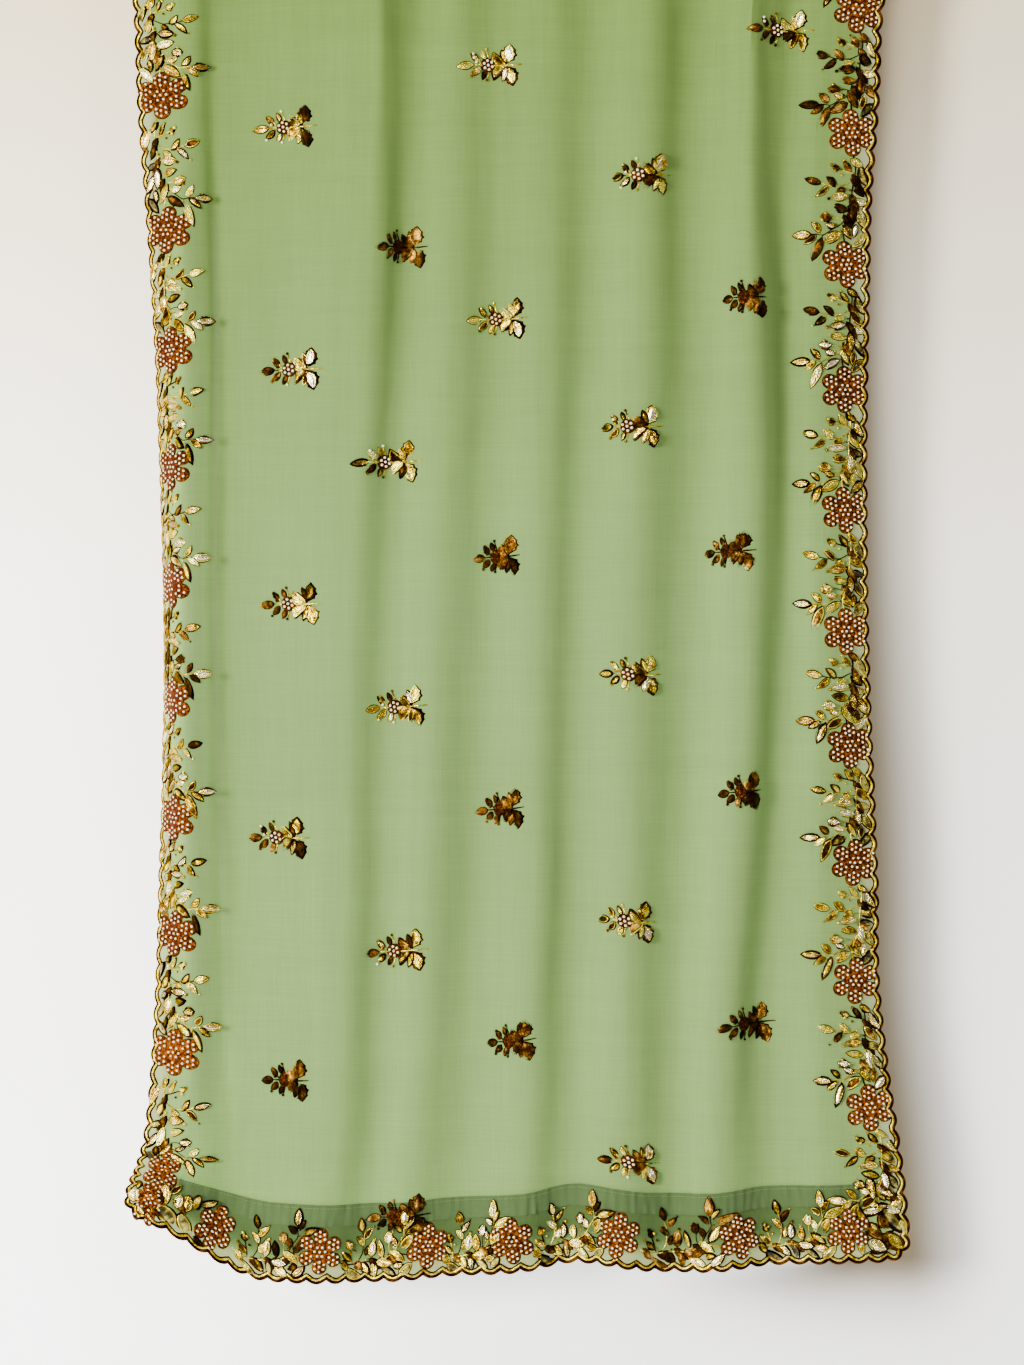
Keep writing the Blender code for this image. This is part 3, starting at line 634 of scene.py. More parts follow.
def inside_of(points, polygon):
    """Which points lie inside the polygon, and how far each is from its edge."""
    poly = np.asarray(polygon)
    nxt = np.roll(poly, -1, axis=0)
    x, y = points[:, :1], points[:, 1:]
    crossing = (poly[:, 1] > y) != (nxt[:, 1] > y)
    rise = np.where(nxt[:, 1] == poly[:, 1], 1e-12, nxt[:, 1] - poly[:, 1])
    at = poly[:, 0] + (y - poly[:, 1]) / rise * (nxt[:, 0] - poly[:, 0])
    inside = (crossing & (x < at)).sum(axis=1) % 2 == 1
    run = nxt - poly
    share = ((x - poly[:, 0]) * run[:, 0] + (y - poly[:, 1]) * run[:, 1]) / np.maximum(
        (run**2).sum(axis=1), 1e-18
    )
    share = np.clip(share, 0, 1)
    away = np.hypot(x - poly[:, 0] - share * run[:, 0], y - poly[:, 1] - share * run[:, 1])
    return inside, away.min(axis=1)


def divided(outline, step):
    """The outline with points added along its long edges."""
    points = []
    for start, end in zip(outline, [*outline[1:], outline[0]]):
        count = max(math.ceil(math.dist(start, end) / step), 1)
        for i in range(count):
            t = i / count
            points.append((start[0] + (end[0] - start[0]) * t, start[1] + (end[1] - start[1]) * t))
    return points


GROUND_STEP, CLEAR_OF_EDGE, SPOTS_AT_ONCE, SAME_POINT = 0.0036, 0.45, 3000, 1e-4


def cut_shell(name, outline):
    """A shell of the borders' net, cut to any outline in (s, v)."""
    outline = divided(outline, GROUND_STEP)
    corners = np.array(outline)
    low, high = corners.min(axis=0), corners.max(axis=0)
    s, v = np.meshgrid(
        np.arange(low[0] + GROUND_STEP / 2, high[0], GROUND_STEP),
        np.arange(low[1] + GROUND_STEP / 2, high[1], GROUND_STEP),
    )
    spots = np.stack([s.ravel(), v.ravel()], axis=1)
    kept = []
    for part in np.array_split(spots, max(len(spots) // SPOTS_AT_ONCE, 1)):
        within, away = inside_of(part, corners)
        kept.append(part[within & (away > CLEAR_OF_EDGE * GROUND_STEP)])
    points = [Vector((a * 1000, b * 1000)) for a, b in (*outline, *np.concatenate(kept))]
    found = delaunay_2d_cdt(points, [], [list(range(len(outline)))], 1, SAME_POINT)
    flat = np.array([(p.x / 1000, p.y / 1000) for p in found[0]])
    faces = [tuple(face) for face in found[2]]
    directed = {(a, b) for face in faces for a, b in zip(face, face[1:] + face[:1])}
    follows = {a: b for a, b in directed if (b, a) not in directed}
    first = next(iter(follows))
    loop, at = [first], follows[first]
    while at != first:
        loop.append(at)
        at = follows[at]
    return shell(name, flat, faces, loop, ORGANZA)


# ---- flat meshes of the embroidery
BAND_LIFT, BAND_SLOPE = 0.0018, 0.002


def over_band(s, v):
    """How much higher embroidery lies where it crosses a hem band."""
    past_top = np.abs(v) - (drop_at(v) - END_BORDER)
    within = (past_top, BAND - past_top, s - SIDE_BORDER, WIDTH - SIDE_BORDER - s)
    return BAND_LIFT * math.prod(np.clip(gap / BAND_SLOPE + 1, 0, 1) for gap in within)


TURN_REACH, FACING, TURNED = 0.006, 0.85, 0.35


def turned_away(s, v):
    """0 where the hung cloth faces front or back, 1 where its turned edges show it narrowed to half."""
    ahead, _ = on_cloth(np.minimum(s + TURN_REACH, WIDTH), v)
    behind, _ = on_cloth(np.maximum(s - TURN_REACH, 0.0), v)
    run = ahead - behind
    across = np.abs(run[:, 0]) / np.maximum(np.linalg.norm(run, axis=1), 1e-9)
    return np.clip((FACING - across) / TURNED, 0.0, 1.0)


TURNED_FLATTER = 0.45  # how much lower embroidery lies where the cloth is turned away


class Flat:
    """Meshes made in flat coordinates (s, v, height), sewn onto the cloth at the end."""

    def __init__(self, materials):
        self.materials = materials
        self.points, self.faces, self.indices, self.count = [], [], [], 0
        self.tints, self.groove_shades = [], []

    def add(self, points, faces, index, tint=0.0, groove_shades=None):
        self.points.append(points)
        self.tints.append(np.full(len(points), tint))
        self.groove_shades.append(np.zeros(len(points)) if groove_shades is None else np.asarray(groove_shades))
        self.faces += [tuple(i + self.count for i in face) for face in faces]
        self.indices += [index] * len(faces) if isinstance(index, int) else list(index)
        self.count += len(points)

    def sew(self, name, turned_painted_shade=0.08):
        flat = np.concatenate(self.points)
        turned = turned_away(flat[:, 0], flat[:, 1])
        height = flat[:, 2] * (1 - TURNED_FLATTER * turned) + over_band(flat[:, 0], flat[:, 1])
        points, _ = on_cloth(flat[:, 0], flat[:, 1], OUTER + height)
        # painted shade: lower tints where the cloth turns away from the front
        tints = np.concatenate(self.tints) - turned_painted_shade * turned
        tones = {"tint": tints, "groove": np.concatenate(self.groove_shades)}
        return add_piece(name, points, self.faces, self.materials, self.indices, tones)


def circle(count):
    """Angles evenly round a circle."""
    return [2 * math.pi * i / count for i in range(count)]


def loops(rings, size, closed_top=False):
    """Quads between successive rings of the same size."""
    faces = []
    for r in range(rings - 1):
        for i in range(size):
            a, b = r * size + i, r * size + (i + 1) % size
            faces.append((a, b, b + size, a + size))
    if closed_top:
        faces.append(tuple(range((rings - 1) * size, rings * size)))
    return faces


NARROWED = 0.45  # ends of a thread against its middle


def tube(path, radius, sides=5, closed=False):
    """A round thread along flat points (s, v[, height]), lying on the cloth."""
    path = np.asarray(path, float)
    if path.shape[1] == 2:
        path = np.column_stack([path, np.full(len(path), radius * 0.5)])
    ahead = np.roll(path, -1, axis=0) if closed else np.concatenate([path[1:], path[-1:]])
    behind = np.roll(path, 1, axis=0) if closed else np.concatenate([path[:1], path[:-1]])
    side = sideways((ahead - behind)[:, :2])
    radii = np.full(len(path), radius)
    if not closed:
        radii[[0, -1]] *= NARROWED
    rings = []
    for a in circle(sides):
        flat = path[:, :2] + (radii * math.cos(a))[:, None] * side
        rings.append(np.column_stack([flat, path[:, 2] + radii * math.sin(a)]))
    points = np.stack(rings, axis=1).reshape(-1, 3)
    faces, last = loops(len(path), sides), (len(path) - 1) * sides
    if closed:
        faces += [(last + k, last + (k + 1) % sides, (k + 1) % sides, k) for k in range(sides)]
    else:
        faces += [tuple(reversed(range(sides))), tuple(range(last, last + sides))]
    return points, faces


def sideways(run):
    """Unit vectors to the left of flat runs."""
    run = run / np.maximum(np.linalg.norm(run, axis=1, keepdims=True), 1e-12)
    return np.stack([-run[:, 1], run[:, 0]], axis=1)


# A leaf from its dark foot in to its midrib: width share, height share and its painted shade, darkest at
# the foot and in the hollow between rim and dome
LEAF_RINGS = table(
    "width height groove",
    (1.36, 0.0, 1.0),
    (1.06, 0.4, 0.5),
    (0.90, 1.0, 0.0),
    (0.74, 0.55, 0.9),
    (0.42, 0.9, 0.0),
    (0.05, 1.0, 0.3),
)
LEAF_FULL, LEAF_ROUND, LEAF_LONG, TOOTH, VEIN, VEINED_RING = 0.88, 0.72, 0.55, 0.15, 0.4, 0.42


def leaf(root, tip, width, bend=0.0, height=0.0012, teeth=0, stations=7):
    """A pointed leaf: dark foot, raised rim, hollow ring and a domed inside with a midrib, with painted
    shade at the foot, in the hollow and along the midrib, and dark vein streaks.
    """
    root, tip = np.array(root, float), np.array(tip, float)
    run = tip - root
    length = float(np.hypot(*run))
    ahead = run / length
    side = np.array([-ahead[1], ahead[0]])
    t = np.linspace(0, 1, stations)
    half = 0.5 * width * np.sin(np.pi * t**LEAF_FULL) ** LEAF_ROUND
    half = half * (1 + (TOOTH if teeth else 0.0) * np.cos(2 * np.pi * teeth * t))
    order = [*range(stations), *range(stations - 2, 0, -1)]
    sign = [0.0] + [1.0] * (stations - 2) + [0.0] + [-1.0] * (stations - 2)
    points, groove_shades = [], []
    for ring in LEAF_RINGS:
        reach = LEAF_LONG + (1 - LEAF_LONG) * ring.width
        for i, way in zip(order, sign):
            along = 0.5 + (t[i] - 0.5) * reach
            bow = bend * length * math.sin(math.pi * along)
            spot = root + ahead * length * along + side * (way * half[i] * ring.width + bow)
            points.append((spot[0], spot[1], ring.height * height))
            vein = VEIN * (i % 2) if ring.width == VEINED_RING else 0.0
            groove_shades.append(max(ring.groove, vein))
    size = len(order)
    faces = loops(len(LEAF_RINGS), size, closed_top=True)
    parts = [0] * size + [1] * (2 * size) + [2] * (2 * size + 1)
    return np.array(points), faces, parts, groove_shades


PEARL_PROFILE = ((0.78, 0.0), (1.0, 0.60), (0.84, 1.12), (0.48, 1.48))
PEARL_TOP, PEARL_SIDES = 1.62, 8


def pearl(s, v, radius, base):
    """A bead: rings and a top point."""
    points = [
        (s + r * radius * math.cos(a), v + r * radius * math.sin(a), base + h * radius)
        for r, h in PEARL_PROFILE
        for a in circle(PEARL_SIDES)
    ]
    points.append((s, v, base + PEARL_TOP * radius))
    last = len(PEARL_PROFILE) * PEARL_SIDES
    faces = loops(len(PEARL_PROFILE), PEARL_SIDES)
    rim = range(last - PEARL_SIDES, last)
    faces += [(a, b, last) for a, b in zip(rim, [*rim[1:], rim[0]])]
    return np.array(points), faces


PETALS, PETAL_REACH, PETAL_RADIUS, PETAL_CORE = 6, 0.0122, 0.0060, 0.72
PEARL_RADIUS, PEARL_PITCH, PEARL_GAP, PEARL_SHIFT, PEARL_BASE = 0.00102, 0.0040, 0.0030, 0.0003, 0.0011
FLOWER_WIDE = 1.10  # the folds narrow what lies across them
PAD_RINGS = ((1.05, 0.0), (0.99, 0.0007), (0.88, 0.0011), (0.45, 0.0014), (0.0, 0.0015))
PAD_SIDES, SPRIG_PAD_SIDES, SPRIG_PAD = 72, 16, 5.8


def pad_groove_shades(count):
    """Painted shade round a pad's foot, and none above it."""
    return [0.9] * count + [0.0] * (len(PAD_RINGS) - 1) * count


def tangents(s, v):
    """How the hung cloth runs across and down at a flat point, per metre of cloth."""
    reach = TURN_REACH
    spots = np.array([(s - reach, v), (s + reach, v), (s, v - reach), (s, v + reach)])
    spots[:, 0] = np.clip(spots[:, 0], 0.0, WIDTH)
    ends, _ = on_cloth(spots[:, 0], spots[:, 1])
    return (ends[1] - ends[0]) / (spots[1, 0] - spots[0, 0]), (ends[3] - ends[2]) / (2 * reach)


def unsheared(s, v):
    """The flat offsets that lie as a true square on the hung cloth, which stretches and shears them."""
    across, down = tangents(s, v)
    metric = np.array([[across @ across, across @ down], [across @ down, down @ down]])
    sizes, ways = np.linalg.eigh(metric)
    return (ways / np.sqrt(sizes)) @ ways.T


def towards_window(s, v):
    """The slants (across, down) that make a flat sequin at a flat point mirror the window to the front."""
    across, down = tangents(s, v)
    spot, _ = on_cloth(np.array([s]), np.array([v]))
    ways = [np.array(place) - spot[0] for place in (WINDOW, CAMERA)]
    half = sum(way / np.linalg.norm(way) for way in ways)
    normal = np.cross(across, down)
    normal *= np.sign(normal @ half) / np.linalg.norm(normal)
    return -(half @ across) / (half @ normal), -(half @ down) / (half @ normal)


def flower_ground(turn, size):
    """The lobed pad of copper thread under a flower's pearls."""
    outline = []
    for a in circle(PAD_SIDES):
        best = PETAL_REACH * PETAL_CORE
        for k in range(PETALS):
            d = a - turn - k * math.pi / 3
            off = PETAL_REACH * math.sin(d)
            if math.cos(d) > 0 and abs(off) < PETAL_RADIUS:
                best = max(best, PETAL_REACH * math.cos(d) + math.sqrt(PETAL_RADIUS**2 - off**2))
        outline.append((a, best * size))
    points = [
        (FLOWER_WIDE * q * r * math.cos(a), q * r * math.sin(a), h)
        for q, h in PAD_RINGS
        for a, r in outline
    ]
    return np.array(points), loops(len(PAD_RINGS), PAD_SIDES), pad_groove_shades(PAD_SIDES)


def flower_beads(turn, size):
    """Places of the pearls of one flower, about its centre: seven in the middle and seven on each petal."""
    pitch = PEARL_PITCH * size
    places = [(0.0, 0.0)] + [(pitch, (k + 0.5) * math.pi / 3) for k in range(PETALS)]
    spots = [(r * math.cos(a + turn), r * math.sin(a + turn)) for r, a in places]
    for k in range(PETALS):
        a = turn + k * math.pi / 3
        x, y = PETAL_REACH * size * math.cos(a), PETAL_REACH * size * math.sin(a)
        spots.append((x, y))
        for m in range(6):
            b = a + m * math.pi / 3
            spots.append((x + pitch * math.cos(b), y + pitch * math.sin(b)))
    shift = PEARL_SHIFT
    return [(x + rng.uniform(-shift, shift), y + rng.uniform(-shift, shift)) for x, y in spots]


# ---- the vine's repeat
# In millimetres: a is the distance in from the scallop tips, b the distance on from the flower before.
# kind picks the tone: g gold, d dark antique gold, f flashing sequin, o olive sequin by the edge.
PITCH = 94.4
VINE_LEAVES = table(
    "root_a root_b tip_a tip_b width kind bend",
    (9, 24, 2.6, 36.5, 6, "o", 0.10),
    (27, 26, 33, 24.5, 4.2, "g", 0),
    (42, 36.5, 52.5, 33.8, 5, "g", 0),
    (29.6, 38.5, 36.6, 32, 4.4, "g", 0.08),
    (35.2, 38.6, 43.6, 45.2, 4.4, "g", -0.05),
    (14.4, 35, 6.4, 43.6, 6.2, "g", 0),
    (20, 45.6, 32.4, 46.2, 6, "f", 0),
    (14.4, 48, 3.4, 50.6, 5, "o", 0),
    (19.2, 55.4, 31.8, 53, 5.2, "g", 0),
    (15.2, 51.4, 13.6, 64.2, 6.6, "f", 0),
    (10.4, 55.4, 4, 66.6, 5.4, "o", 0),
    (32, 61.6, 40.4, 60.4, 5.8, "f", 0),
    (48.4, 73.2, 61.8, 73, 5.6, "f", 0),
    (40.8, 71.4, 46.6, 65.4, 4.4, "g", 0.08),
    (44, 73.8, 52.2, 79.4, 4.2, "g", -0.05),
    (39.6, 76.2, 46, 91, 5.8, "g", 0),
    (24.8, 72, 37.4, 79.2, 6.2, "g", 0),
    (24, 63.2, 16.4, 73.8, 5.6, "g", 0),
    (3.4, 72, 12.2, 81, 6.4, "o", 0),
    (16, 30, 9, 38.5, 5, "d", 0),
    (17, 44, 9.5, 54, 5.4, "d", 0),
    (21, 59, 15, 68, 4.6, "d", 0),
    (17, 19, 9, 24, 5, "g", 0),
    (17, 28, 23, 20.5, 4.4, "g", 0),
    (21, 40, 28.6, 42.4, 4.2, "g", 0),
    (29, 68, 36, 65, 4.2, "f", 0),
    (11, 66, 12.4, 74.6, 5, "g", 0),
)
VINE_STEMS = table(
    "points radius",
    (((16, 16), (13, 26), (14.4, 36), (15.6, 46), (14.6, 55), (19, 62), (22, 70), (20, 80)), 0.8),
    (((14.4, 29), (20, 28), (27, 26), (32, 25)), 0.8),
    (((15, 34), (23, 38), (29.6, 38), (36, 38), (42, 36)), 0.6),
    (((17, 56), (22, 65), (32, 70), (38, 74), (43, 73), (48.4, 73)), 0.6),
    (((38, 73), (39.6, 76.6)), 0.5),
    (((20, 63), (27, 61), (32, 61.6)), 0.5),
)
VINE_BEADS = table(
    "a b radius",
    (33.6, 23.4, 1.7),
    (31.2, 27.4, 1.5),
    (25, 30.2, 1.1),
    (34.6, 47.6, 1.5),
    (39.4, 63, 1.3),
    (37, 57.8, 1.2),
    (28, 66, 1.1),
    (24.2, 20, 1.1),
    (17, 41, 1),
    (46, 46.6, 0.9),
)
FLOWER_RISE = 0.024
FLOWER_INSET = {"left": 0.0218, "right": 0.019}
FRONT_FLOWERS = {
    "left": (0.0525, 0.1480, 0.2560, 0.3524, 0.4464, 0.5412, 0.6336, 0.7284, 0.8216, 0.9172, 1.0300),
    "right": (0.0790, 0.1779, 0.2846, 0.3865, 0.4852, 0.5847, 0.6786, 0.7741, 0.8704, 0.9739),
}
BACK_FLOWERS = {"left": (-0.0430, -0.0955, 11), "right": (-0.0195, -0.0985, 10)}  # first, pitch, count
HEM_FLOWERS = (0.0690, 0.1540, 0.2430, 0.3125, 0.4010, 0.5020, 0.5920)
CORNER_FLOWER = (0.0175, 1.0770, math.radians(70), 0.9, 0.84)
# How wide flowers are made: on the turned left edge, on its curled corner (below CURL_FROM), on the hem
TURNED_WIDE, CURLED_WIDE, CURL_FROM, HEM_WIDE = 1.34, 0.8, 1.0, 0.98

# Stretches of the vine with leaves in the darker antique thread, and the share of them: low, high, share
DARK = {
    "left": ((0.55, 0.63, 0.45),),
    "right": ((0.08, 0.20, 0.55), (0.20, 0.27, 0.45)),
    "hem": ((0.08, 0.14, 0.25), (0.42, 0.49, 0.5)),
}


def dark_share(run, middle):
    return sum(share for low, high, share in DARK[run] if low < middle < high)


def inward(side, a):
    """The flat place s at a millimetres in from a side edge."""
    return a * MM if side == "left" else WIDTH - a * MM


SPRIG_COLUMNS = table(
    "s front aside back_first",
    (0.127, (0.174, 0.368, 0.555, 0.742, 0.936), (0, 5, 8, -9, -10), -0.214),
    (0.218, (0.270, 0.442, 0.638, 0.833), (8, -3, 4, -3), -0.118),
    (0.308, (0.124, 0.328, 0.520, 0.724, 0.911), (-6, 0, 1, -1, 2), -0.284),
    (0.420, (0.214, 0.416, 0.616, 0.816, 1.011), (9, 2, 3, -5, -9), -0.186),
    (0.520, (0.096, 0.313, 0.518, 0.713, 0.902), (35, 4, -10, -1, 3), -0.105),
)
SPRIG_PITCH = 0.194
# Tone of each front sprig, by column: g gold, d dark, h half and half, and b for the one on the hem band
SPRIG_TONES = ("ghhhd", "dggg", "ggddd", "ggggg", "hdddd")
BAND_SPRIG = (0.2168, 1.0455, "b")

# A sprig in millimetres about its middle: x towards the stem end, y down the cloth.
SPRIG_LEAVES = table(
    "root_x root_y tip_x tip_y width bend teeth",
    (-13, 0.4, -24.8, 2.2, 5.4, 0, 0),
    (-9, -2, -14.6, -8.6, 4.2, 0.06, 0),
    (-8, 2.6, -15, 8.6, 4.6, -0.06, 0),
    (-3.4, -4.6, -6.4, -11.4, 3.6, 0, 0),
    (-3, 5, -5.8, 12, 3.8, 0, 0),
    (12.3, -0.6, 2.8, -9.4, 8, -0.20, 0),
    (12.3, 1, 3.4, 11.2, 8, 0.20, 0),
    (13.4, -1.6, 9.4, -12.6, 5, 0, 0),
    (13.8, 2, 10.2, 13.4, 5, 0, 0),
    (13.2, -2.6, 16.2, -16.2, 9.2, 0.06, 4),
    (14, 2, 18.6, 16, 9.2, -0.06, 4),
)
SPRIG_STEMS = (
    ((-14.4, 0.6), (-7, 0.4), (0, 0.4), (10, 0.4), (18, 0), (25.3, -0.4)),
    ((-6, 0), (-9, -4), (-12.6, -8)),
    ((1, -3), (-1, -7.5), (-2.6, -12)),
    ((0, 4), (-0.8, 8), (-1.8, 12)),
)
SPRIG_TIPS = ((-13, -8.4), (-12.4, -5.2), (-2.8, -12.6), (-2, 12.4), (-14.4, 10), (-10.6, -2))
SPRIG_X, SPRIG_Y, SPRIG_RING = -1.0, 0.2, 3.6
SPRIG_CLUSTER = tuple(
    (SPRIG_X + SPRIG_RING * math.cos(math.radians(a)), SPRIG_Y + SPRIG_RING * math.sin(math.radians(a)))
    for a in range(20, 380, 60)
) + ((SPRIG_X, SPRIG_Y),)

# Leaves and broad sequins that fill the front corners, from root to tip, in millimetres:
# a is the distance in from the side and c the distance up from the hem.
CORNER_FIELDS = "root_a root_c tip_a tip_c width kind"
CORNER_LEAVES = {
    "right": table(
        CORNER_FIELDS,
        (34, 31, 22, 17, 9, "d"),
        (22, 36, 14, 22, 8, "d"),
        (17, 54, 5, 47, 7, "d"),
        (22, 20, 12, 8, 8, "d"),
        (37, 37, 15, 44, 8, "g"),
        (41, 44, 31, 24, 6.5, "g"),
        (34, 15, 18, 8, 12, "f"),
        (17, 21, 4.5, 7, 11.5, "g"),
        (19, 42, 4, 21, 10, "o"),
        (24, 61, 9, 50, 8, "f"),
        (28, 67, 26, 48, 8, "f"),
        (33, 48, 22, 43, 6, "f"),
        (19, 42, 5, 38, 6, "f"),
        (4.5, 31, 3, 15, 6.5, "o"),
        (30, 30, 24, 21, 5, "g"),
        (40, 17, 38, 5, 5, "g"),
    ),
    "left": table(
        CORNER_FIELDS,
        (20, 34, 28, 16, 9, "d"),
        (14, 14, 28, 8, 8, "d"),
        (36, 31, 46, 22, 8, "d"),
        (26, 18, 41, 5, 14, "o"),
        (43, 20, 50, 3.5, 9.5, "o"),
        (53, 6, 62, 3, 5, "g"),
        (4.5, 27, 6, 13, 9, "o"),
        (5, 10, 17, 3.5, 7, "g"),
        (6, 42, 7, 29, 6, "g"),
        (27, 44, 31, 22, 7.5, "o"),
        (33, 36, 39, 52, 5, "g"),
        (30, 36, 30, 48, 4.6, "g"),
        (39, 24, 40, 40, 6, "g"),
        (46, 25, 46, 43, 6.8, "f"),
        (52, 30, 53, 48, 6.2, "g"),
        (56, 37, 67, 49, 6, "g"),
    ),
}
# Materials of the metal work, by index: foot or rim, fills, and each leaf kind's fill
RIM_GOLD, FILL_GOLD, RIM_BROWN, FILL_ANTIQUE, FILL_FLASH, FILL_OLIVE = range(6)
METALS = [OUTLINE_GOLD, GOLD, OUTLINE_BROWN, ANTIQUE, FLASH, OLIVE]
FILLS = {"g": FILL_GOLD, "f": FILL_FLASH, "o": FILL_OLIVE}
FLASH_SHARE = {"g": 0.14, "o": 0.34}  # of gold and olive leaves that flash instead
ANTIQUE_SHARE, BROWN_RIM_SHARE, DARK_STEM_SHARE, DARK_SPRIG_LEAF_SHARE = 0.16, 0.45, 0.25, 0.2
FLASH_HEIGHT, SPRIG_HEIGHT, LEAF_FOOT = 0.0019, 0.0013, 0.0006
# Slants (rise over run) drawn at random for each leaf, and the most that they lower or raise it
LEAN_LOW, LEAN_HIGH, LEAN_SIDE, LEAN_MIDDLE, SUNK, RAISED = -0.14, 0.42, 0.22, 0.14, 0.0012, 0.0024
# A flashing sequin mostly follows the slant that mirrors the window
FLASH_SLANT, FLASH_LEAN, MOST_SLANT = 0.72, 0.4, 0.6
LEAF_MORE, MORE_SPREAD, TIP_SPREAD = 0.10, 0.05, 0.8  # leaves run longer than their table says
# Ranges of the random draws: shares of a size, and tints
LEAF_WIDTHS, LEAF_TINTS, PAD_TINTS = (0.95, 1.15), (-0.10, 0.12), (-0.02, 0.03)
BEAD_SIZES, BEAD_TINTS = (0.93, 1.06), (-0.1, 0.1)
# How far flowers are turned at random, in degrees, and how much narrower the vine is on the hem
SIDE_TURN, HEM_TURN, HEM_REACH = 7, 9, 0.92
LEAST_NARROW, LEAST_ACROSS, CROWDING = 0.3, 0.6, 0.2
# Sprigs: shares of flashing leaves and of buds, widths, beads in millimetres, and the pad's tint
SPRIG_FLASH_SHARE, SPRIG_BUD_SHARE, PLAIN_SQUEEZE, DARK_SQUEEZE = 0.35, 0.7, 1.03, 0.76
SPRIG_TIP, SPRIG_PEARL, DARK_SPRIG_PEARL, SPRIG_PAD_TINT = 1.2, 1.15, 0.8, -0.06
STEM_SHARE, STEM_FINENESS = 0.75, 3  # stems against their table's radius, and their points a step


class Embroidery:
    """All the embroidery of one half of the stole."""

    def __init__(self, half, drop, direction):
        self.half, self.drop, self.direction = half, drop, direction
        self.metal = Flat(METALS)
        self.pads = Flat([COPPER])
        self.pearls = Flat([PEARL])
        self.buds = Flat([GOLD, ANTIQUE])
        self.beads = []

    def tone(self, kind, dark):
        """Foot, rim and fill indices of a leaf."""
        if dark or kind == "d":
            return (RIM_BROWN, FILL_ANTIQUE, FILL_ANTIQUE)
        fill = FILLS[kind]
        if kind == "g" and rng.random() < ANTIQUE_SHARE:
            fill = FILL_ANTIQUE
        return (RIM_BROWN, RIM_BROWN if rng.random() < BROWN_RIM_SHARE else RIM_GOLD, fill)

    def add_leaf(self, root, tip, width, kind, dark, **shape):
        if not dark and rng.random() < FLASH_SHARE.get(kind, 0.0):
            kind = "f"
        if kind == "f":
            shape["height"] = FLASH_HEIGHT
        points, faces, parts, groove_shades = leaf(root, tip, width, **shape)
        tones = self.tone(kind, dark)
        points[:, 2] += self.leaning(points, kind)
        tint = rng.uniform(*LEAF_TINTS)
        self.metal.add(points, faces, [tones[p] for p in parts], tint, groove_shades)

    def leaning(self, points, kind):
        """Height to add so that each leaf lies at its own slight slant, with its foot on the cloth."""
        slant = np.array([rng.uniform(LEAN_LOW, LEAN_HIGH), rng.uniform(-LEAN_SIDE, LEAN_SIDE)])
        middle = points[:, :2].mean(axis=0)
        if kind == "f":
            mirror = np.clip(towards_window(*middle), -MOST_SLANT, MOST_SLANT)
            slant = FLASH_SLANT * mirror + FLASH_LEAN * (slant - (LEAN_MIDDLE, 0.0))
        raised = np.clip(points[:, 2] / LEAF_FOOT, 0.0, 1.0)
        return raised * np.clip((points[:, :2] - middle) @ slant, -SUNK, RAISED)

    def add_bead(self, s, v, radius, base=0.0003, dark=False, bud=False):
        target = self.buds if bud else self.pearls
        points, faces = pearl(s, v, radius, base)
        target.add(points, faces, 1 if bud and dark else 0, rng.uniform(*BEAD_TINTS))

    def flower(self, s, v, turn, size=1.0, wide=FLOWER_WIDE):
        true = unsheared(s, v) * (wide / FLOWER_WIDE, 1.0)
        points, faces, groove_shades = flower_ground(turn, size)
        points[:, :2] = (s, v) + points[:, :2] @ true
        self.pads.add(points, faces, 0, rng.uniform(*PAD_TINTS), groove_shades)
        narrow = max(tangents(s, v)[0][0], LEAST_NARROW)
        for x, y in flower_beads(turn, size):
            spot = (s, v) + np.array([FLOWER_WIDE * x, y]) @ true
            # fewer beads where the cloth turns away, so that they don't crowd there
            seen = (spot[0] * (CROWDING + (1 - CROWDING) * narrow), spot[1])
            if all(math.dist(seen, other) >= PEARL_GAP for other in self.beads):
                self.beads.append(seen)
                self.add_bead(*spot, PEARL_RADIUS * rng.uniform(*BEAD_SIZES), PEARL_BASE)

    def repeat(self, place, gap, reach, share):
        """One repeat of the vine. place(a, b) gives (s, v) in metres for millimetres a and b."""
        stretch = gap / (PITCH * MM)

        def at(a, b):
            return place(a * reach, b * stretch)

        for item in VINE_LEAVES:
            more = LEAF_MORE + rng.uniform(-MORE_SPREAD, MORE_SPREAD)
            run_a, run_b = item.tip_a - item.root_a, item.tip_b - item.root_b
            root = at(item.root_a - 0.5 * more * run_a, item.root_b - 0.5 * more * run_b)
            aside = rng.uniform(-TIP_SPREAD, TIP_SPREAD)
            tip = at(item.tip_a + more * run_a, item.tip_b + more * run_b + aside)
            width = item.width * MM * rng.uniform(*LEAF_WIDTHS)
            self.add_leaf(root, tip, width, item.kind, rng.random() < share, bend=item.bend)
        for stem in VINE_STEMS:
            path = np.array([at(a, b) for a, b in stem.points])
            steps = np.linspace(0, 1, len(path))
            fine = np.linspace(0, 1, STEM_FINENESS * (len(path) - 1) + 1)
            path = np.stack([np.interp(fine, steps, column) for column in path.T], axis=1)
            path[1:-1] = 0.25 * path[:-2] + 0.5 * path[1:-1] + 0.25 * path[2:]
            dark = rng.random() < share + DARK_STEM_SHARE
            self.add_stem(path, stem.radius, dark)
        for bead in VINE_BEADS:
            s, v = at(bead.a, bead.b)
            self.add_bead(s, v, bead.radius * MM, dark=rng.random() < share, bud=True)

    def add_stem(self, path, radius, dark):
        self.metal.add(*tube(path, STEM_SHARE * radius * MM), RIM_BROWN if dark else RIM_GOLD)

    def down_side(self, side, start):
        """The place function of a vine that runs down a side from start."""
        return lambda a, b: (inward(side, a), start + self.direction * b * MM)

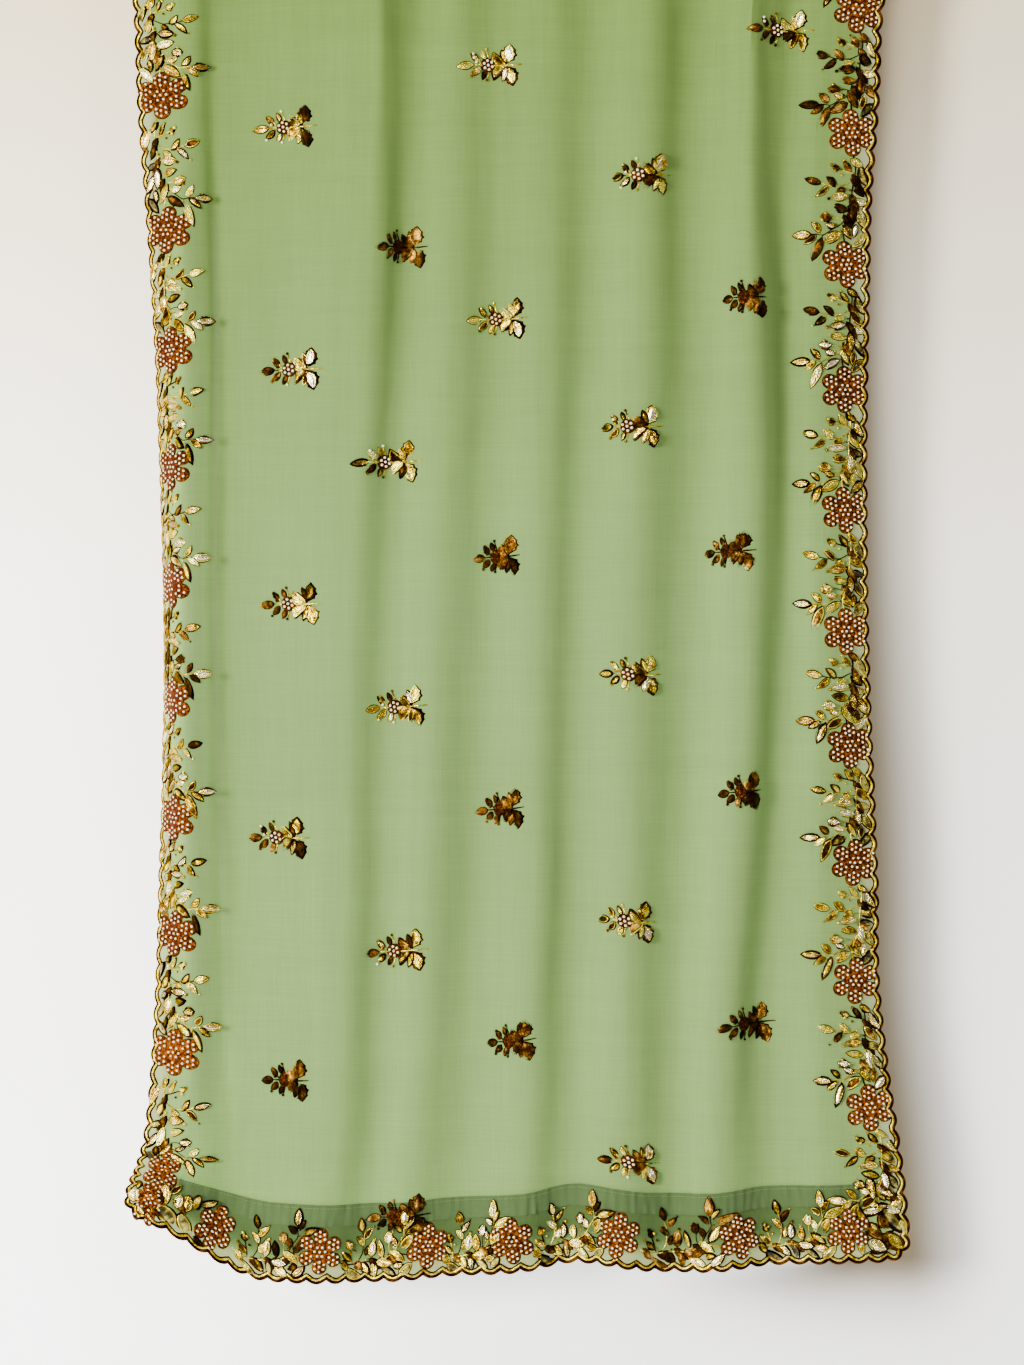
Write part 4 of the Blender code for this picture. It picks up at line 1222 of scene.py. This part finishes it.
    def along_hem(self, start):
        """The place function of a vine that runs along the hem from start."""
        return lambda a, b: (start + b * MM, self.direction * (self.drop - a * MM))

    def side(self, side, flowers):
        """The flowers down one side border, and the vine from each to the next."""
        ordered = sorted(flowers, key=lambda v: v * self.direction)
        for v in ordered:
            s = inward(side, FLOWER_INSET[side] / MM)
            wide = FLOWER_WIDE
            if side == "left":
                wide = CURLED_WIDE if v > CURL_FROM else TURNED_WIDE
            self.flower(s, v, math.radians(90 + rng.uniform(-SIDE_TURN, SIDE_TURN)), 1.0, wide)
        if side == "right":  # the vine goes on to the hem, with no flower there
            ordered.append(ordered[-1] + self.direction * PITCH * MM)
        for v, after in zip(ordered, ordered[1:]):
            share = dark_share(side, abs(v + after) / 2)
            self.repeat(self.down_side(side, v), abs(after - v), 1.0, share)

    def hem(self):
        """The flowers along the hem, and the vine between them."""
        v = self.direction * (self.drop - FLOWER_RISE)
        for s in HEM_FLOWERS:
            self.flower(s, v, math.radians(90 + rng.uniform(-HEM_TURN, HEM_TURN)), 1.0, HEM_WIDE)
        for s, after in zip(HEM_FLOWERS, HEM_FLOWERS[1:]):
            self.repeat(self.along_hem(s), after - s, HEM_REACH, dark_share("hem", (s + after) / 2))

    def corner(self, side):
        for item in CORNER_LEAVES[side]:
            ends = [
                (inward(side, a), self.direction * (self.drop - c * MM))
                for a, c in ((item.root_a, item.root_c), (item.tip_a, item.tip_c))
            ]
            self.add_leaf(*ends, item.width * MM, item.kind, False, stations=9)

    def sprig(self, s, v, tone):
        """One sprig of the panel, in its tone."""
        dark = tone in "db"
        across = max(tangents(s, v)[0][0], LEAST_ACROSS)  # how much the folds narrow it
        squeeze = (DARK_SQUEEZE if tone == "d" else PLAIN_SQUEEZE) / across

        def at(x, y):
            return s + x * squeeze * MM, v + y * MM

        for item in SPRIG_LEAVES:
            darker = dark or (tone == "h" and item.tip_x < 0) or rng.random() < DARK_SPRIG_LEAF_SHARE
            kind = "f" if not dark and item.teeth and rng.random() < SPRIG_FLASH_SHARE else "g"
            shape = {"bend": item.bend, "teeth": item.teeth, "stations": 13 if item.teeth else 9}
            root, tip = at(item.root_x, item.root_y), at(item.tip_x, item.tip_y)
            self.add_leaf(root, tip, item.width * MM, kind, darker, height=SPRIG_HEIGHT, **shape)
        for path in SPRIG_STEMS:
            self.add_stem([at(x, y) for x, y in path], 1.0, dark)
        for x, y in SPRIG_TIPS:
            bud = dark or rng.random() < SPRIG_BUD_SHARE
            self.add_bead(*at(x, y), SPRIG_TIP * MM, dark=dark or tone == "h", bud=bud)
        pad = [
            (*at(SPRIG_X + SPRIG_PAD * q * math.cos(a), SPRIG_Y + SPRIG_PAD * q * math.sin(a)), h)
            for q, h in PAD_RINGS
            for a in circle(SPRIG_PAD_SIDES)
        ]
        faces = loops(len(PAD_RINGS), SPRIG_PAD_SIDES)
        self.pads.add(np.array(pad), faces, 0, SPRIG_PAD_TINT, pad_groove_shades(SPRIG_PAD_SIDES))
        radius = (DARK_SPRIG_PEARL if dark else SPRIG_PEARL) * MM
        for x, y in SPRIG_CLUSTER:
            self.add_bead(*at(x, y), radius, PEARL_BASE, dark, bud=dark)

    def end_border(self):
        """The vine along the hem and the leaves that fill its corners."""
        self.hem()
        self.corner("right")
        self.corner("left")

    def sew(self):
        return [
            self.metal.sew(f"vine_and_sprigs_{self.half}"),
            self.pads.sew(f"flower_pads_{self.half}"),
            self.pearls.sew(f"pearls_{self.half}"),
            self.buds.sew(f"buds_{self.half}"),
        ]


def embroider_front():
    work = Embroidery(*HALVES[0])
    for side in ("left", "right"):
        first = BACK_FLOWERS[side][0]
        work.side(side, (first, *FRONT_FLOWERS[side]))
    work.flower(*CORNER_FLOWER)
    work.end_border()
    for column, tones in zip(SPRIG_COLUMNS, SPRIG_TONES):
        for v, aside, tone in zip(column.front, column.aside, tones):
            work.sprig(column.s + aside * MM, v, tone)
    work.sprig(*BAND_SPRIG)
    return work.sew()


def embroider_back():
    """The back repeats the front's borders, with its sprigs at a regular spacing."""
    work = Embroidery(*HALVES[1])
    for side in ("left", "right"):
        first, pitch, count = BACK_FLOWERS[side]
        work.side(side, [first + pitch * i for i in range(1, count)])
        work.repeat(work.down_side(side, first), abs(pitch), 1.0, 0.0)
    work.end_border()
    for number, column in enumerate(SPRIG_COLUMNS):
        for i in range(5):
            v = column.back_first - SPRIG_PITCH * i
            if v > -(BACK_DROP - END_BORDER - 0.02):
                work.sprig(column.s, v, "gdg"[(number + i) % 3])
    return work.sew()


# ---- the stole
OVER_ROD, HANGS_FROM = 0.041, 0.044
FRONT_ROWS, ROD_ROWS, BACK_ROWS, PANEL_COLUMNS, BAND_ROWS, BAND_COLUMNS = 112, 29, 96, 142, 7, 378


def build_panel():
    rows = np.concatenate(
        [
            np.linspace(-(BACK_DROP - END_BORDER), -HANGS_FROM, BACK_ROWS),
            np.linspace(-OVER_ROD, OVER_ROD, ROD_ROWS),
            np.linspace(HANGS_FROM, FRONT_DROP - END_BORDER, FRONT_ROWS),
        ]
    )
    across = np.linspace(SIDE_BORDER, WIDTH - SIDE_BORDER, PANEL_COLUMNS)
    panel = grid_shell("stole_panel", across, rows, GEORGETTE)
    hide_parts("panel_front", "panel_over_rod", "panel_back")
    return panel


BAND_OUT, BAND_EASE, BAND_LAP, BAND_PUCKER = 0.0009, 0.0012, 0.001, 0.0006
SEAM_IN, SEAM_PINCH, PINCH_REACH = 0.002, 0.25, 0.012


def build_bands():
    made = []
    for half, drop, direction in HALVES:
        low = drop - END_BORDER - BAND_EASE
        rows = np.sort(direction * np.linspace(low, drop - END_BORDER + BAND, BAND_ROWS))
        across = np.linspace(SIDE_BORDER - BAND_LAP, WIDTH - SIDE_BORDER + BAND_LAP, BAND_COLUMNS)

        def puckered(s, v, seam=low + SEAM_IN):
            away = np.minimum(np.abs(np.abs(v) - seam) / PINCH_REACH, 1.0)
            pinch = SEAM_PINCH + (1 - SEAM_PINCH) * away
            wave = np.sin(s * 520 + 6 * np.sin(s * 61)) * np.sin(s * 97 + 1.3)
            wave += 1.3 * np.exp(-((np.sin(s * 37 + 0.4) / 0.16) ** 2)) * np.sin(s * 900)
            return BAND_OUT + BAND_PUCKER * pinch * wave

        band = grid_shell(f"hem_band_{half}_shell", across, rows, DOUBLED, puckered)
        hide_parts(f"hem_band_{half}")
        made.append(band)
    return made


TAB_NOTCH, BORDER_GAP = 0.003, 0.0004


def build_borders():
    left = [*LEFT_RUN, (TAB_NOTCH, TAB_FRONT), (SIDE_BORDER, TAB_FRONT), (SIDE_BORDER, TAB_BACK)]
    right = [(WIDTH - s, v) for s, v in reversed(left)]
    made = []
    for side, outline in (("left", left), ("right", right)):
        piece = cut_shell(f"border_{side}_ground", outline)
        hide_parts(*(f"border_{side}_{part}" for part in ("front", "over_rod", "back")))
        made.append(piece)
    for (half, drop, direction), run in zip(HALVES, (FRONT_RUN, BACK_RUN)):
        top = direction * (drop - END_TAB)
        notch = direction * (drop - END_BORDER + BORDER_GAP)
        outline = [
            *run,
            (WIDTH - TAB_NOTCH, top),
            (WIDTH - SIDE_BORDER, top),
            (WIDTH - SIDE_BORDER, notch),
            (SIDE_BORDER, notch),
            (SIDE_BORDER, top),
        ]
        end = cut_shell(f"border_end_{half}_ground", outline)
        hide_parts(f"border_end_{half}")
        made.append(end)
    return made


# The edging's cords: how far out from the scallops, how high, and how thick
GOLD_CORD = (-0.0005, 0.0003, 0.00100, 6)
BROWN_CORD = (0.0015, -0.0003, 0.00155, 6)
INNER_CORD = (-0.0019, 0.0002, 0.0005, 4)
# The gold cord's painted shade where the cloth turns away, and the inner cord's darker tone
CORD_PAINTED_SHADE, INNER_TINT = 0.05, -0.05


def build_edging():
    """The two cords couched round every scallop, in one closed run round the whole stole."""
    path = np.array([*LEFT_RUN, *FRONT_RUN, *RIGHT_RUN, *reversed(BACK_RUN)])
    outward = sideways(np.roll(path, -1, axis=0) - np.roll(path, 1, axis=0))
    if ((path - (WIDTH / 2, 0.0)) * outward).sum() < 0:
        outward = -outward

    def cord(out, height, radius, sides):
        heights = np.full((len(path), 1), height)
        return tube(np.hstack([path + out * outward, heights]), radius, sides, True)

    gold, brown = Flat([OUTLINE_GOLD]), Flat([OUTLINE_BROWN])
    gold.add(*cord(*GOLD_CORD), 0)
    brown.add(*cord(*BROWN_CORD), 0)
    brown.add(*cord(*INNER_CORD), 0, INNER_TINT)
    return [gold.sew("edge_cord_gold", CORD_PAINTED_SHADE), brown.sew("edge_cord_brown", 0.0)]


STITCH, STITCH_PITCH, STITCH_RADIUS, STITCH_HEIGHT, STITCH_INSET = 0.0017, 0.0026, 0.00022, 0.0011, 0.002


def build_stitching():
    """The stitched line along the top of each hem band."""
    made = []
    for half, drop, direction in HALVES:
        stitches = Flat([GEORGETTE])
        v = direction * (drop - END_BORDER + BAND_EASE)
        first, last = SIDE_BORDER + STITCH_INSET, WIDTH - SIDE_BORDER - STITCH_INSET
        for s in np.arange(first, last, STITCH_PITCH):
            ends = [(s, v, STITCH_HEIGHT), (s + STITCH, v, STITCH_HEIGHT)]
            stitches.add(*tube(ends, STITCH_RADIUS, 4), 0)
        made.append(stitches.sew(f"hem_stitches_{half}"))
    return made


def build_rod():
    """The rod, turned from its profile, with rounded rims."""
    sides, radius, end, rim = 48, ROD_DIAMETER / 2, ROD_LENGTH / 2, 0.004
    profile = [(-end, 0.0), (-end, radius - rim)]
    for i in range(1, 6):
        a = math.radians(18 * i)
        profile.append((-end + rim * (1 - math.cos(a)), radius - rim * (1 - math.sin(a))))
    profile += [(-end + ROD_LENGTH * i / 30, radius) for i in range(1, 30)]
    profile += [(-x, r) for x, r in reversed(profile[:7])]
    points = [(x, r * math.cos(a), r * math.sin(a)) for x, r in profile for a in circle(sides)]
    rod = add_piece("rod_dowel", points, loops(len(profile), sides), [rod_wood()])
    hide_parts("rod")


# ---- stage, lights and camera
CLOUD_TINT, CLOUD_SHARE = (0.6, 0.58, 0.54), 0.06


def paint(name, low, high, rough):
    """Matt paint with faint clouds, from its low colour up to its high one. Its tint isn't linked yet."""
    material, net, shader = new_material(name, Roughness=rough)
    place = net.node("SeparateXYZ", {0: net.place})
    tint = net.mix(net.spread(place.outputs["Z"], -1.1, 0.0), low, high)
    cloud = net.noise(1.1, 1.1, 1.1, detail=2.0)
    tint = net.mix(net.spread(cloud, 0.35, 0.65, 0.0, CLOUD_SHARE), tint, CLOUD_TINT)
    return material, net, shader, place, tint


FLOOR_Z, FLOOR_RADIUS, FLOOR_SIDES, FLOOR_PALE = -1.9, 3.4, 72, (0.82, 0.82, 0.81)


def build_floor():
    material, net, shader, _, tint = paint("studio_floor", FLOOR_PALE, FLOOR_PALE, 0.9)
    net.link(tint, shader.inputs["Base Color"])
    ring = [(FLOOR_RADIUS * math.cos(a), FLOOR_RADIUS * math.sin(a), FLOOR_Z) for a in circle(FLOOR_SIDES)]
    return add_mesh("studio_floor", ring, [tuple(range(FLOOR_SIDES))], [material])


# The wall's painted light: the strength of its glow, the glow brighter on the left, its paint from the foot
# up to the darker, warmer top, the glow's painted shade at the top, and the glow and paint in the cloth's
# painted shadow
WALL_PAINTED_GLOW = 3.6
WALL_PAINTED_LIGHT = ((0.10, (1.0, 1.0, 1.0)), (0.5, (0.40, 0.40, 0.40)), (1.0, (0.31, 0.305, 0.30)))
WALL_LOW, WALL_HIGH_PAINTED_SHADE = (0.95, 0.95, 0.95), (0.76, 0.68, 0.50)
WALL_TOP_PAINTED_SHADE, PAINTED_SHADOW_GLOW, PAINTED_SHADOW_TINT = (0.31, 0.245, 0.13), (0.04, 0.034, 0.024), (0.20, 0.148, 0.070)


def wall_paint():
    """The wall has a soft painted glow, brighter on its left, with painted shade towards its top and the
    cloth's painted shadow, and is clear from behind.
    """
    material, net, shader, place, tint = paint("studio_wall", WALL_LOW, WALL_HIGH_PAINTED_SHADE, 0.95)
    # painted light brighter on the left, and painted shade towards the top
    across = net.ramp(net.spread(place.outputs["X"], -0.5, 0.5), WALL_PAINTED_LIGHT)
    glow = net.mix(1.0, tint, across, blend="MULTIPLY")
    upper = net.mix(1.0, glow, WALL_TOP_PAINTED_SHADE, blend="MULTIPLY")
    glow = net.mix(net.spread(place.outputs["Z"], -0.50, 0.0), glow, upper)
    # the cloth's painted shadow
    shade = net.attribute("shade")
    net.link(net.mix(shade, glow, PAINTED_SHADOW_GLOW), shader.inputs["Emission Color"])
    net.link(net.mix(shade, tint, PAINTED_SHADOW_TINT), shader.inputs["Base Color"])
    shader.inputs["Emission Strength"].default_value = WALL_PAINTED_GLOW
    backfacing = net.node("NewGeometry").outputs["Backfacing"]
    net.blend(backfacing, shader, net.node("BsdfTransparent"))
    return material


# The cloth's painted soft shadow on the wall: how far it reaches past the cloth's right edge, at four
# heights
SHADE_AT, SHADE_REACH = (-1.0, -0.7, -0.3, 0.0), (0.052, 0.048, 0.019, 0.014)
# It widens by SHADE_SPREAD a metre between cloth and wall, about the height SHADE_MIDDLE
SHADE_SPREAD, SHADE_MIDDLE, SHADE_SOFT = 0.385, -0.596, 1.8
# Where it fades out: to the left beside the cloth and below its hem, and above the rod
SHADE_LEFT, SHADE_FADE, HEM_SHADE_LEFT, HEM_SHADE_FADE, BELOW_HEM = 0.24, 0.03, 0.04, 0.25, 0.03
SHADE_TOP, SHADE_TOP_FADE = 0.26, 0.16
EDGE_IN, EDGE_SHORT, EDGE_SPOTS = 0.002, 0.004, 60
WALL_Y, WALL_HALF, WALL_HEIGHT = 0.062, 1.7, 1.1


def painted_wall_shadow(x, z):
    """How dark the cloth's painted shadow is at points of the wall."""
    down = np.linspace(0.0, FRONT_DROP - EDGE_SHORT, EDGE_SPOTS)
    edge, _ = on_cloth(np.full(EDGE_SPOTS, WIDTH - EDGE_IN), down)
    spread = 1.0 + SHADE_SPREAD * (WALL_Y - edge[:, 1])
    order = np.argsort(edge[:, 2])
    edge_z = (SHADE_MIDDLE + (edge[:, 2] - SHADE_MIDDLE) * spread)[order]
    edge_x = (edge[:, 0] * spread)[order]
    foot = np.maximum(edge_z[0] - z, 0.0)
    gap = np.hypot(np.maximum(x - np.interp(z, edge_z, edge_x), 0.0), foot)
    below = np.minimum(foot / BELOW_HEM, 1.0)
    start = SHADE_LEFT + (HEM_SHADE_LEFT - SHADE_LEFT) * below
    fade = eased((x - start) / (SHADE_FADE + (HEM_SHADE_FADE - SHADE_FADE) * below))
    fade *= np.clip((SHADE_TOP - z) / SHADE_TOP_FADE, 0.0, 1.0)
    return fade * np.exp(-((gap / np.interp(z, SHADE_AT, SHADE_REACH)) ** SHADE_SOFT))


def build_stage():
    floor = build_floor()
    # the wall's points, close together where the painted shadow falls
    across = np.concatenate([[-WALL_HALF], np.linspace(0.02, 0.54, 105), [WALL_HALF]])
    shaded = (np.arange(-1.2, -1.0, 0.01), np.arange(-1.0, 0.21, 0.02))
    up = np.concatenate([[FLOOR_Z], *shaded, [WALL_HEIGHT]])
    x, z = (values.ravel() for values in np.meshgrid(across, up))
    index = np.arange(len(x)).reshape(len(up), len(across))
    points = np.stack([x, np.full(len(x), WALL_Y), z], axis=1)
    # the cloth's painted shadow on the wall
    shade = {"shade": painted_wall_shadow(x, z)}
    wall = add_mesh("studio_wall", points, grid_faces(index), [wall_paint()], None, shade)
    wall.visible_shadow = False


def area_light(name, place, size, watts, colour):
    light = bpy.data.lights.new(name, "AREA")
    light.shape = "DISK"
    light.size = size
    light.energy = watts
    light.color = colour
    lamp = add_object(name, light)
    lamp.location = place
    lamp.rotation_euler = (Vector(AIM) - Vector(place)).to_track_quat("-Z", "Y").to_euler()


ROOM_LEFT, ROOM_RIGHT, ROOM_BEHIND = (1.16, 1.13, 1.06), (0.52, 0.51, 0.50), (0.16, 0.15, 0.14)
ROOM_STRENGTH = 1.15
# Lamps: place, size, watts and colour
LAMPS = {
    "window": (WINDOW, 0.9, 175.0, (1.0, 0.98, 0.945)),
    "glint": ((1.5, -2.6, 0.5), 0.3, 20.0, (1.0, 0.99, 0.97)),
}


def build_lights():
    """A soft window from the left and a small lamp from the right, in a room dim behind the camera."""
    world = bpy.data.worlds.new("soft_studio")
    world.use_nodes = True
    background = world.node_tree.nodes["Background"]
    net = Net(world.node_tree)
    way = net.node("SeparateXYZ", {0: net.node("TexCoord").outputs["Generated"]}).outputs
    room = net.mix(net.spread(way["X"], -1.0, 0.6), ROOM_LEFT, ROOM_RIGHT)
    dim = net.spread(way["Y"], -0.90, -0.52, 1.0, 0.0)
    net.link(net.mix(dim, room, ROOM_BEHIND), background.inputs["Color"])
    background.inputs["Strength"].default_value = ROOM_STRENGTH
    bpy.context.scene.world = world
    for name, lamp in LAMPS.items():
        area_light(name, *lamp)


SENSOR_MM, VIEW_DISTANCE, VIEW_HEIGHT = 36.0, 2.6, 1.092


def build_camera():
    data = bpy.data.cameras.new("camera")
    data.sensor_width = SENSOR_MM
    data.lens = SENSOR_MM * VIEW_DISTANCE / VIEW_HEIGHT
    camera = add_object("camera", data)
    camera.location = CAMERA
    camera.rotation_euler = (math.radians(90), 0.0, 0.0)
    bpy.context.scene.camera = camera


build_camera()
panel = build_panel()
bands = build_bands()
borders = build_borders()
edging = build_edging()
stitching = build_stitching()
build_rod()
front = embroider_front()
back = embroider_back()


build_stage()
build_lights()
